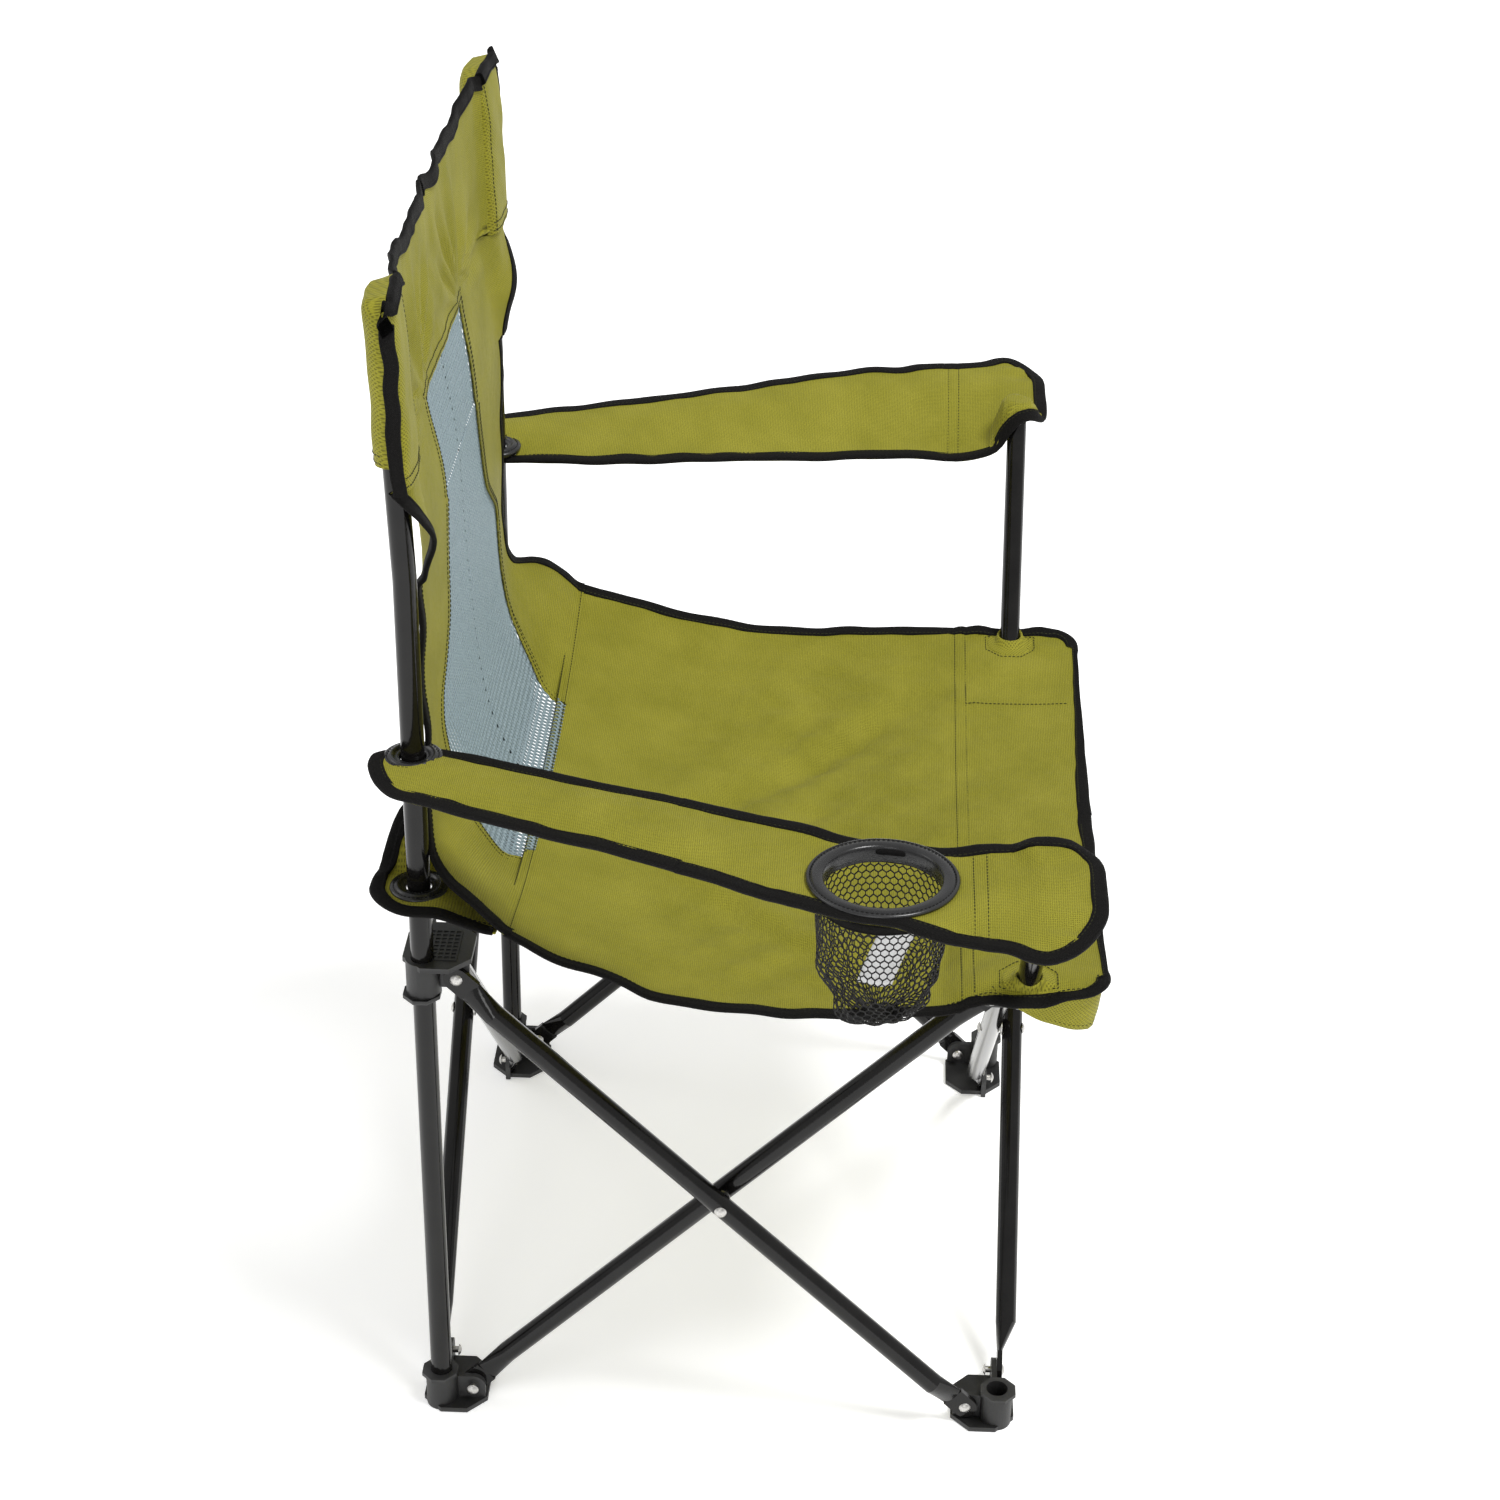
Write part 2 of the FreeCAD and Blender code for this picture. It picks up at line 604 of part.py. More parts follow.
def arm_post(side, name):
    """A front post: a tube whose lower end is pressed flat and pinned between its hub's ears."""
    lean = math.radians(size("post_lean"))
    long = (post_top_height - size("hub_pivot_height")) / math.cos(lean)
    flat_long = size("pivot_to_plate") / math.cos(lean) + size("flat_half_wide")
    taper = size("post_taper_length")
    thick, half_wide = size("flat_thick"), size("flat_half_wide")
    pad = Part.makeBox(half_wide * 2, thick, flat_long, FreeCAD.Vector(-half_wide, -thick / 2, 0))
    across = FreeCAD.Vector(0, 1, 0)
    nose = Part.makeCylinder(half_wide, thick, FreeCAD.Vector(0, -thick / 2, 0), across)
    up = FreeCAD.Vector(0, 0, 1)
    thin = Part.Ellipse(FreeCAD.Vector(0, 0, flat_long - size("tube_wall")), half_wide, thick / 2).toShape()
    full = Part.makeCircle(tube, FreeCAD.Vector(0, 0, flat_long + taper), up)
    swell = Part.makeLoft([Part.Wire(thin), Part.Wire(full)], True)
    body = Part.makeCylinder(tube, long - flat_long - taper, FreeCAD.Vector(0, 0, flat_long + taper))
    hollow_from = flat_long + taper + size("tube_wall")
    hollow = Part.makeCylinder(tube - size("tube_wall"), long, FreeCAD.Vector(0, 0, hollow_from))
    pin = Part.makeCylinder(size("rivet_radius") + size("rivet_clearance"), tube * 2,
                            FreeCAD.Vector(0, -tube, 0), across)
    shape = pad.fuse([nose, swell, body]).cut([hollow, pin])
    made = feature(name, shape)
    foot_point = FreeCAD.Vector(side * bore_x, centre_y - bore_y, size("hub_pivot_height"))
    made.Placement = FreeCAD.Placement(foot_point, FreeCAD.Rotation(across, side * size("post_lean")))
    return keep(made, name)


# ---------------------------------------------------------------- cloth
def grommet(name, x, y, z):
    """A ring sewn into the cloth, which a tube passes through: plastic, or doubled cloth at the arm posts."""
    ring = rod(name + "_ring", "grommet_rim_radius", "grommet_high", x, y, z, "z")
    hole = rod(name + "_hole", "grommet_hole_radius", "grommet_high * 3", x, y, z, "z")
    return keep(cut(name, ring, [hole]), name)


def prism(points, direction):
    """The polygon through the points, run along the direction."""
    vectors = [FreeCAD.Vector(*p) for p in points]
    return Part.Face(Part.makePolygon(vectors + vectors[:1])).extrude(FreeCAD.Vector(*direction))


def upright_hole(radius, x, y):
    return Part.makeCylinder(radius, size("pole_top_height"), FreeCAD.Vector(x, y, 0))


def patch_side():
    """How far out the seat's front patch sits, where the leaning post passes it."""
    return bore_x + (seat_patch_height - size("hub_pivot_height")) * post_slope


def seat_height(across, along):
    """Height of the seat's top: across runs 0 to 1 from the middle out, along 0 to 1 from front to seam."""
    side = seat_front_height * (1 - along) + seam_height * along
    lowest = seat_front_height - size("seat_side_dip")
    side -= (side - lowest) * math.sin(math.pi * along) ** 3
    return side - size("seat_middle_dip") * math.sin(math.pi * along) * math.cos(math.pi / 2 * across) ** 2


def seat_half(side, name):
    """Half of the seat sling, with an ear behind that goes round the back pole."""
    grid = []
    for i in range(5):
        along = i / 4
        y = -seat_front_reach + (seam_reach + seat_front_reach) * along
        out = size("seat_front_out") * (1 - along) + size("seat_rear_out") * along
        bulge = size("seat_middle_out") - (size("seat_front_out") + size("seat_rear_out")) / 2
        wide = bore_x + out + bulge * math.sin(math.pi * along)
        grid.append([FreeCAD.Vector(side * wide * j / 4, centre_y + y, seat_height(j / 4, along))
                     for j in range(5)])
    top = Part.BSplineSurface()
    top.interpolate(grid)
    thick = size("cloth_thick")
    sheet_solid = top.toShape().extrude(FreeCAD.Vector(0, 0, -thick))
    seam_y, ear_y = centre_y + seam_reach, centre_y + ear_reach
    seam_z, ear_z = seam_height, seat_grommet_rear_height + thick / 2
    near_y = centre_y + bore_y - size("grommet_rim_radius") - 2 * thick
    inner = side * ear_inner
    ear_top = [(inner, seam_y, seam_z), (inner, near_y, ear_z), (inner, ear_y, ear_z)]
    ear_under = [(x, y, z - thick) for x, y, z in reversed(ear_top)]
    ear = prism(ear_top + ear_under, (side * (size("ear_in") + size("seat_rear_out")), 0, 0))
    hole = size("grommet_rim_radius") + size("cloth_clearance")
    shape = sheet_solid.fuse(ear)
    shape = shape.cut([
        upright_hole(hole, side * bore_x, centre_y + bore_y),
        upright_hole(hole, side * patch_side(), centre_y - bore_y),
    ])
    return keep(feature(name, shape), name)


def back_line():
    """The backrest's front face from the seam to its top edge, as (y, z)."""
    seam = seam_reach + size("cloth_clearance")
    upright = bore_y - tube - size("cloth_thick")
    return [
        (seam, seam_height - size("cloth_thick")),
        (seam + size("belly_share") * (upright - seam), seam_height + size("belly_over_seam")),
        (upright - size("back_slack"), arm_grommet_height + size("slack_over_grommet")),
        (upright, size("pole_bend_height")),
        (pole_top_back - tube - size("cloth_thick"), back_top_height),
    ]


def back_sheet(side):
    """Half of the backrest's cloth, with its mesh panel still in it."""
    thick = size("cloth_thick")
    front = [FreeCAD.Vector(0, centre_y + y, z) for y, z in back_line()]
    rear = [p + FreeCAD.Vector(0, thick, 0) for p in front]
    curves = []
    for line in (front, rear):
        curve = Part.BSplineCurve()
        curve.interpolate(line)
        curves.append(curve.toShape())
    edges = [curves[0], Part.makeLine(front[-1], rear[-1]), curves[1], Part.makeLine(rear[0], front[0])]
    face = Part.Face(Part.Wire(Part.__sortEdges__(edges)))
    half = back_half_wide
    whole = face.extrude(FreeCAD.Vector(side * half, 0, 0))
    gap = size("cloth_clearance")
    ear_top = seat_grommet_rear_height + thick + 2 * gap
    notch_from = ear_inner - gap
    notch = box_between((side * notch_from, centre_y, 0), (side * half * 2, centre_y + 2 * bore_y, ear_top))
    pocket_low = size("pole_top_height") + size("cap_rim_high") - size("pocket_long")
    pocket_from = bore_x - size("pocket_wide") / 2 - gap
    corner = box_between((side * pocket_from, centre_y, pocket_low),
                         (side * half * 2, centre_y + 2 * bore_y, size("pole_top_height") * 2))
    return whole.cut([notch, corner])


def box_between(low, high):
    low_point = FreeCAD.Vector(*[min(a, b) for a, b in zip(low, high)])
    spans = [abs(a - b) for a, b in zip(low, high)]
    return Part.makeBox(*spans, low_point)


def mesh_outline(side):
    """The panel's half outline on the backrest, as (x, z): waisted above, widest over the seat."""
    corners = [(side * size("mesh_%s_half_wide" % name), seam_height + size("mesh_%s_over_seam" % name))
               for name in ("top", "waist", "belly", "foot")]
    low = seam_height - size("mesh_below_seam")
    return [(0, corners[0][1])] + corners + [(corners[-1][0], low), (0, low)]


def back_half(side, label):
    sheet_shape = back_sheet(side)
    points = [(x, centre_y, z) for x, z in mesh_outline(side)]
    window = prism(points, (0, 2 * bore_y, 0))
    keep(feature("backrest_cloth_" + label, sheet_shape.cut(window)), "backrest_cloth_" + label)
    keep(feature("backrest_mesh_" + label, sheet_shape.common(window)), "backrest_mesh_" + label)


def pole_pocket(side, name):
    """The sewn pocket at the backrest's top corner, closed over its pole's cap."""
    lean = size("pole_lean")
    wide, half_deep, long = size("pocket_wide"), size("pocket_half_deep"), size("pocket_long")
    bag = Part.makeBox(wide, 2 * half_deep, long, FreeCAD.Vector(-wide / 2, -half_deep, -long))
    upright_edges = [e for e in bag.Edges if abs(e.tangentAt(e.FirstParameter).z) > 0.9]
    bag = bag.makeFillet(half_deep * size("pocket_round_share"), upright_edges)
    room = cap_wide + size("cloth_clearance")
    hollow = Part.makeCylinder(room, long, FreeCAD.Vector(0, 0, -long - size("cloth_thick")))
    made = feature(name, bag.cut(hollow))
    slope = math.radians(lean)
    top = FreeCAD.Vector(side * bore_x, centre_y + pole_top_back + over_cap * math.sin(slope),
                         size("pole_top_height") + over_cap * math.cos(slope))
    made.Placement = FreeCAD.Placement(top, FreeCAD.Rotation(FreeCAD.Vector(1, 0, 0), -lean))
    return keep(made, name)


def curve_through(points):
    curve = Part.BSplineCurve()
    curve.interpolate([FreeCAD.Vector(*p) for p in points])
    return curve.toShape()


def arm_plan(side):
    """The armrest from above: round its grommet behind, clear of the backrest, wider towards the front."""
    gap = size("cloth_clearance")
    ring = size("grommet_rim_radius") + 3 * size("cloth_thick") - size("arm_corner") / 4
    rear, notch = ear_reach, bore_y - tube + 2 * gap
    front, corner = arm_front_reach, size("arm_corner")
    edge = back_half_wide + 3 * gap

    def spot(out_from_middle, ahead):
        return (side * out_from_middle, centre_y - ahead, 0)

    inner = [spot(edge, -notch + corner / 4), spot(bore_x + size("arm_inner_middle_out"), 0),
             spot(bore_x + size("arm_inner_front_out"), front - corner)]
    outer = [spot(bore_x + size("arm_outer_front_out"), front - 2 * corner),
             spot(bore_x + size("arm_outer_middle_out"), 0),
             spot(bore_x + size("arm_outer_rear_out"), corner - rear)]
    nose = [inner[-1], spot(bore_x + size("arm_inner_front_out") + corner, front),
            spot(bore_x + size("arm_outer_front_out") - corner, front), outer[0]]
    tail = [outer[-1], spot(bore_x + size("arm_outer_rear_out") - corner, -rear), spot(bore_x - ring, -rear),
            spot(bore_x - ring, -notch), spot(edge, -notch), inner[0]]
    edges = [curve_through(inner), curve_through(outer)]
    for line in (nose, tail):
        edges += Part.makePolygon([FreeCAD.Vector(*p) for p in line]).Edges
    outline = Part.Face(Part.Wire(Part.__sortEdges__(edges)))
    return outline.extrude(FreeCAD.Vector(0, 0, size("pole_top_height")))


def arm_cloth(side):
    """The whole armrest: level over its length, raised over the post at its front."""
    thick = size("cloth_thick")
    flat, front = arm_flat_height, arm_front_height
    rear_z = arm_grommet_height + thick / 2
    post_y = centre_y - bore_y
    rise_y = post_y + tube * 2.5
    flat_front = centre_y - cup_forward - size("cup_ring_radius") - size("cloth_clearance")
    line = [(centre_y + ear_reach, rear_z), (centre_y + bore_y - size("grommet_rim_radius"), rear_z),
            (centre_y, flat), (flat_front, flat), (rise_y, front), (centre_y - arm_front_reach - thick, front)]
    lower = [(y, z - thick) for y, z in reversed(line)]
    strip = prism([(0, y, z) for y, z in line + lower], (side * 2 * cup_side, 0, 0))
    return strip.common(arm_plan(side))


def arm_half(side, end, name):
    """The front or the rear half of an armrest, which folds at its middle."""
    whole = arm_cloth(side)
    crease = centre_y + size("arm_crease_behind")
    far = size("bore_apart_deep") * 2
    gap = size("cloth_clearance") / 2
    if end == "front":
        keep_box = box_between((0, crease - gap, 0), (side * far, crease - far, far))
    else:
        keep_box = box_between((0, crease + gap, 0), (side * far, crease + far, far))
    shape = whole.common(keep_box)
    if end == "rear":
        hole = size("grommet_rim_radius") + size("cloth_clearance")
        shape = shape.cut(upright_hole(hole, side * bore_x, centre_y + bore_y))
    elif side < 0:
        hole = size("cup_collar_radius") + size("cloth_clearance")
        shape = shape.cut(upright_hole(hole, side * cup_side, centre_y - cup_forward))
    return keep(feature(name, shape), name)


# ---------------------------------------------------------------- cup holder
def cup_ring():
    """A flanged plastic ring that lines the hole in the right armrest."""
    x, y = "0 - cup_side", "centre_y - cup_forward"
    base = "(arm_flat_height + cup_ring_lift)"
    flange = rod("cup_flange", "cup_ring_radius", "cup_ring_thick", x, y, base + " + cup_ring_thick / 2", "z")
    collar = rod("cup_collar", "cup_collar_radius", "cup_collar_deep", x, y,
                 base + " - cup_collar_deep / 2", "z")
    hole = rod("cup_hole", "cup_hole_radius", "cup_collar_deep * 4", x, y, base, "z")
    return keep(cut("cup_ring", fuse("cup_ring_solid", [flange, collar]), [hole]), "cup_ring")


def cup_net():
    """The net bag under the ring: an open-mouthed tapering cup, its mouth round the ring's collar."""
    wall = size("net_wall")
    mouth = size("cup_collar_radius") + size("cloth_clearance") + wall
    top = arm_flat_height + size("cup_ring_lift") - size("cup_collar_deep") + size("net_over_collar")
    band = size("net_over_collar") + wall
    bottom, taper = size("net_bottom_radius"), size("net_deep") - band
    base = FreeCAD.Vector(-cup_side, centre_y - cup_forward, top - size("net_deep"))
    floor = base + FreeCAD.Vector(0, 0, wall)
    neck = base + FreeCAD.Vector(0, 0, taper)
    outside = Part.makeCone(bottom, mouth, taper, base).fuse(Part.makeCylinder(mouth, band, neck))
    inside = Part.makeCone(bottom - wall, mouth - wall, taper - wall, floor)
    inside = inside.fuse(Part.makeCylinder(mouth - wall, band, neck))
    return keep(feature("cup_net", outside.cut(inside)), "cup_net")


# ---------------------------------------------------------------- the chair
for corner in CORNERS:
    foot(corner)
    corner_rivets(corner, upper=False)
    corner_rivets(corner, upper=True)
for corner in ("rear_right", "rear_left"):
    slider(corner)
for corner in ("front_right", "front_left"):
    fork_hub(corner)
for scissor in SCISSORS:
    crossing_rivet(scissor)

the_strut = strut_pattern()
doc.recompute()
for scissor, outer_climbs in (("right", (0, 1)), ("left", (0, 1)), ("front", (1, 0)), ("rear", (1, 0))):
    inner_climbs = (-outer_climbs[0], -outer_climbs[1])
    strut(scissor, True, outer_climbs, the_strut)
    strut(scissor, False, inner_climbs, the_strut)

for label, side in (("right", -1), ("left", 1)):
    back_pole(side, "back_pole_" + label)
    slope = math.radians(size("pole_lean"))
    pole_top = FreeCAD.Vector(side * bore_x, centre_y + pole_top_back, size("pole_top_height"))
    end_cap("pole_cap_" + label, pole_top, FreeCAD.Vector(0, math.sin(slope), math.cos(slope)))
    arm_post(side, "arm_post_" + label)
    lean = math.radians(size("post_lean"))
    post_top = FreeCAD.Vector(side * post_top_side, centre_y - bore_y, post_top_height)
    end_cap("post_cap_" + label, post_top, FreeCAD.Vector(side * math.sin(lean), 0, math.cos(lean)))
    pole_x, pole_y = "%d * bore_x" % side, "centre_y + bore_y"
    grommet("seat_grommet_rear_" + label, pole_x, pole_y, "seat_grommet_rear_height")
    front_x = "%d * (bore_x + (seat_patch_height - hub_pivot_height) * tan(post_lean))" % side
    grommet("seat_post_patch_" + label, front_x, "centre_y - bore_y", "seat_patch_height")
    grommet("arm_grommet_" + label, pole_x, pole_y, "arm_grommet_height")
    seat_half(side, "seat_" + label)
    back_half(side, label)
    pole_pocket(side, "back_pocket_" + label)
    arm_half(side, "front", "armrest_front_" + label)
    arm_half(side, "rear", "armrest_rear_" + label)
cup_ring()
cup_net()

# ---------------------------------------------------------------- checks, then the files
doc.recompute()
failed = []
for thing in doc.Objects:
    if "Invalid" in thing.State or "Error" in thing.State:
        failed.append(thing.Name)
for node in nodes:
    if node.Shape.isNull() or not node.Shape.isValid() or not node.Shape.Solids:
        failed.append(node.Label)
if failed:
    raise RuntimeError("these pieces failed: " + ", ".join(failed))
os.makedirs("parts", exist_ok=True)
for node in nodes:
    node.Shape.exportStep("parts/%s.step" % node.Label)
print("nodes written:", len(nodes))
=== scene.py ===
import math

import bpy
import numpy as np
from mathutils import Matrix, Vector


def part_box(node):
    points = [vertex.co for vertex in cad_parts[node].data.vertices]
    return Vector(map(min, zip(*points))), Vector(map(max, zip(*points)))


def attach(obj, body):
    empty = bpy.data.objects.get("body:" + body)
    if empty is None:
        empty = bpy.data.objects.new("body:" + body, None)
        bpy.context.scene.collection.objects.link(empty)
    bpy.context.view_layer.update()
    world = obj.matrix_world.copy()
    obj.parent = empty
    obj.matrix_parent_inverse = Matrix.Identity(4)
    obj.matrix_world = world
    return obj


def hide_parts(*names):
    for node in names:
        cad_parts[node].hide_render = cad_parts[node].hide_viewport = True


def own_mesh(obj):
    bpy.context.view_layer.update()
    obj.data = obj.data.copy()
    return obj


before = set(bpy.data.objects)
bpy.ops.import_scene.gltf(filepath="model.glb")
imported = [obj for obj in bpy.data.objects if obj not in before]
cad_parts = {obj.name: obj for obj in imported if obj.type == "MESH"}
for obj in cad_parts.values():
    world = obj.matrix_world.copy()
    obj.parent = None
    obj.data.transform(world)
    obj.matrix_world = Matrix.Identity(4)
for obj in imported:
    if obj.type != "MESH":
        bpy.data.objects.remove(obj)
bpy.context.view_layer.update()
MM = 0.001
SIDES = (("right", -1), ("left", 1))


# ---------------------------------------------------------------- places, read from the frame, in millimetres
def box_mm(node):
    low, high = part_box(node)
    return np.array(low) / MM, np.array(high) / MM


def centre_mm(node):
    low, high = box_mm(node)
    return (low + high) / 2


POLE_X, POLE_Y, EAR_Z = centre_mm("seat_grommet_rear_left")
ARM_GROMMET_Z = centre_mm("arm_grommet_left")[2]
PATCH_X, PATCH_Y, PATCH_Z = centre_mm("seat_post_patch_left")
CY = (POLE_Y + PATCH_Y) / 2     # the chair's middle, front to back
CUP_X, CUP_Y, _ = centre_mm("cup_ring")
CUP_TOP = box_mm("cup_ring")[1][2]
SEAT_FRONT = box_mm("seat_left")[0][1]
SEAM_Y = CY + 152               # where the seat and the backrest are sewn together
LOW, BACK_TOP = (corner[2] for corner in box_mm("backrest_cloth_left"))
CAP_TOP = box_mm("pole_cap_left")[1][2]
HUB_LOW, HUB_HIGH = box_mm("fork_hub_front_left")
POST_TOP_X, POST_TOP_Y, _ = centre_mm("post_cap_left")
POST_TOP = box_mm("post_cap_left")[1][2]
CLOTH = 0.7                     # half a cloth's thickness
SEAM_PITCH = 8.5                # between the two rows of a double seam
TAPE_ROW = 7.2                  # from an edge to the stitches in its tape
HOLE = {"post": 12.5, "ear": 13, "arm": 15, "cup": 42.5}    # radii cut in the cloth
UP, AHEAD = (0, 0, 1.0), (0, -1.0, 0)


# ---------------------------------------------------------------- numbers to curves
def line_through(xs, ys):
    """A smooth curve through the points that never overshoots them."""
    xs, ys = np.array(xs, float), np.array(ys, float)
    h, d = np.diff(xs), np.diff(ys) / np.diff(xs)
    slope = np.zeros(len(xs))
    for k in range(1, len(xs) - 1):
        if d[k - 1] * d[k] > 0:
            w1, w2 = 2 * h[k] + h[k - 1], h[k] + 2 * h[k - 1]
            slope[k] = (w1 + w2) / (w1 / d[k - 1] + w2 / d[k])
    slope[0], slope[-1] = d[0], d[-1]

    def at(x):
        x = np.clip(np.asarray(x, float), xs[0], xs[-1])
        k = np.clip(np.searchsorted(xs, x, side="right") - 1, 0, len(h) - 1)
        t = (x - xs[k]) / h[k]
        a, b = (1 + 2 * t) * (1 - t) ** 2, t * (1 - t) ** 2
        c, e = t * t * (3 - 2 * t), t * t * (t - 1)
        return a * ys[k] + b * h[k] * slope[k] + c * ys[k + 1] + e * h[k] * slope[k + 1]

    return at


def step(low, high, x):
    t = np.clip((np.asarray(x, float) - low) / (high - low), 0, 1)
    return t * t * (3 - 2 * t)


def bump(x, middle, half):
    return np.exp(-((np.asarray(x, float) - middle) / half) ** 2)


def waves(x, y, seed, size=60.0, terms=9, rough=0.55):
    """Soft rumple of about -1 to 1: a few sine waves in fixed directions."""
    g = np.random.default_rng(seed)
    total, weight = 0.0, 0.0
    for k in range(terms):
        a, f = g.uniform(0, math.pi), 2 * math.pi / (size * (0.5 + 1.2 * g.random()))
        amp = rough ** (k / 3)
        total = total + amp * np.sin(f * (math.cos(a) * x + math.sin(a) * y) + g.uniform(0, 6.28))
        weight += amp
    return total / weight * 1.8


def unit(v):
    v = np.asarray(v, float)
    return v / np.maximum(np.linalg.norm(v, axis=-1, keepdims=True), 1e-9)


# ---------------------------------------------------------------- meshes
def outward(points, faces):
    """The faces, turned so that a closed piece's faces look out."""
    p = np.asarray(points, float)
    p = p - p.mean(0)
    fan = np.array([(q[0], q[k], q[k + 1]) for q in faces for k in range(1, len(q) - 1)])
    volume = np.sum(np.einsum("ij,ij->i", p[fan[:, 0]], np.cross(p[fan[:, 1]], p[fan[:, 2]])))
    return faces if volume > 0 else [q[::-1] for q in faces]


def add(name, part, finish, replaces=None, smooth=True):
    """A piece made of points, faces and, where there are any, flat coordinates and normals."""
    points, faces, uv, normals = (*part, None, None)[:4]
    mesh = bpy.data.meshes.new(name)
    mesh.from_pydata((np.asarray(points, float) * MM).tolist(), [], [list(map(int, f)) for f in faces])
    mesh.validate()
    if uv is not None:
        layer = mesh.uv_layers.new(name="metric")
        index = np.empty(len(mesh.loops), np.int32)
        mesh.loops.foreach_get("vertex_index", index)
        layer.data.foreach_set("uv", np.asarray(uv, np.float32)[index].ravel())
    mesh.polygons.foreach_set("use_smooth", np.full(len(mesh.polygons), smooth))
    mesh.materials.append(finish)
    if normals is not None:
        mesh.normals_split_custom_set_from_vertices([tuple(n) for n in unit(normals)])
    mesh.update()
    made = bpy.data.objects.new(name, mesh)
    bpy.context.scene.collection.objects.link(made)
    if replaces:
        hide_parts(replaces)
    return made


def grid_normals(p):
    return unit(np.cross(np.gradient(p, axis=1), np.gradient(p, axis=0)))


def normals_of(p, facing):
    """A grid's normals, turned to look that way."""
    n = grid_normals(p)
    sign = np.sign(np.sum(n * np.asarray(facing, float), axis=-1, keepdims=True))
    return n * np.where(sign == 0, 1, sign)


def stack(parts):
    """Joins (points, faces, uv, normals) parts into one."""
    points, faces, uvs, normals, start = [], [], [], [], 0
    for p, f, uv, n in parts:
        points.append(p)
        faces += [[i + start for i in q] for q in f]
        uvs.append(uv)
        normals.append(n)
        start += len(p)
    return np.concatenate(points), faces, np.concatenate(uvs), np.concatenate(normals)


def shell(p, n, uv, keep=None, thick=2 * CLOTH):
    """A closed sheet from a grid of points, its normals and its flat coordinates: two faces and a rim."""
    rows, cols = p.shape[:2]
    if keep is None:
        keep = np.ones((rows - 1, cols - 1), bool)
    top = (p + n * thick / 2).reshape(-1, 3)
    under = (p - n * thick / 2).reshape(-1, 3)
    count = rows * cols
    faces = []
    for i, j in zip(*np.nonzero(keep)):
        a, b, c, d = i * cols + j, i * cols + j + 1, (i + 1) * cols + j + 1, (i + 1) * cols + j
        faces.append([a, d, c, b])
        faces.append([count + a, count + b, count + c, count + d])
    wide = np.zeros((rows + 1, cols + 1), bool)
    wide[1:-1, 1:-1] = keep
    rim = []
    for i in range(rows):
        for j in range(cols - 1):
            above, below = wide[i, j + 1], wide[i + 1, j + 1]
            if above != below:
                rim.append((i * cols + j, i * cols + j + 1) if below else (i * cols + j + 1, i * cols + j))
    for i in range(rows - 1):
        for j in range(cols):
            before, after = wide[i + 1, j], wide[i + 1, j + 1]
            if before != after:
                rim.append(((i + 1) * cols + j, i * cols + j) if after else (i * cols + j, (i + 1) * cols + j))
    faces += [[a, b, count + b, count + a] for a, b in rim]
    nn = n.reshape(-1, 3)
    flat = uv.reshape(-1, 2)
    points = np.concatenate([top, under])
    return points, outward(points, faces), np.concatenate([flat, flat]), np.concatenate([nn, -nn])


def used_only(part):
    """Drops the points that no face uses."""
    p, f, uv, n = part
    used = np.zeros(len(p), bool)
    for q in f:
        used[q] = True
    index = np.cumsum(used) - 1
    return p[used], [[int(index[i]) for i in q] for q in f], uv[used], n[used]


def cells(grid):
    """The middle of each cell of a grid of values."""
    return (grid[:-1, :-1] + grid[1:, :-1] + grid[:-1, 1:] + grid[1:, 1:]) / 4


def resample(path, gap, closed=False, extra=()):
    """The path at even spacing, with anything in extra carried along."""
    path = np.asarray(path, float)
    if closed:
        path = np.vstack([path, path[:1]])
        extra = [np.vstack([e, e[:1]]) for e in extra]
    along = np.concatenate([[0], np.cumsum(np.linalg.norm(np.diff(path, axis=0), axis=1))])
    count = max(4, int(round(along[-1] / gap)))
    t = np.linspace(0, along[-1], count + 1)
    if closed:
        t = t[:-1]
    out = [np.stack([np.interp(t, along, v[:, k]) for k in range(v.shape[1])], 1) for v in [path, *extra]]
    return out[0], out[1:], t


TAPE = ((9.0, 0.75), (8.7, 1.5), (7.6, 1.75), (6.9, 1.45), (5.8, 1.75), (3.0, 1.85), (0.5, 1.85), (-1.0, 1.35),
        (-1.7, 0.0), (-1.0, -1.35), (0.5, -1.85), (3.0, -1.85), (5.8, -1.75), (6.9, -1.45), (7.6, -1.75),
        (8.7, -1.5), (9.0, -0.75))


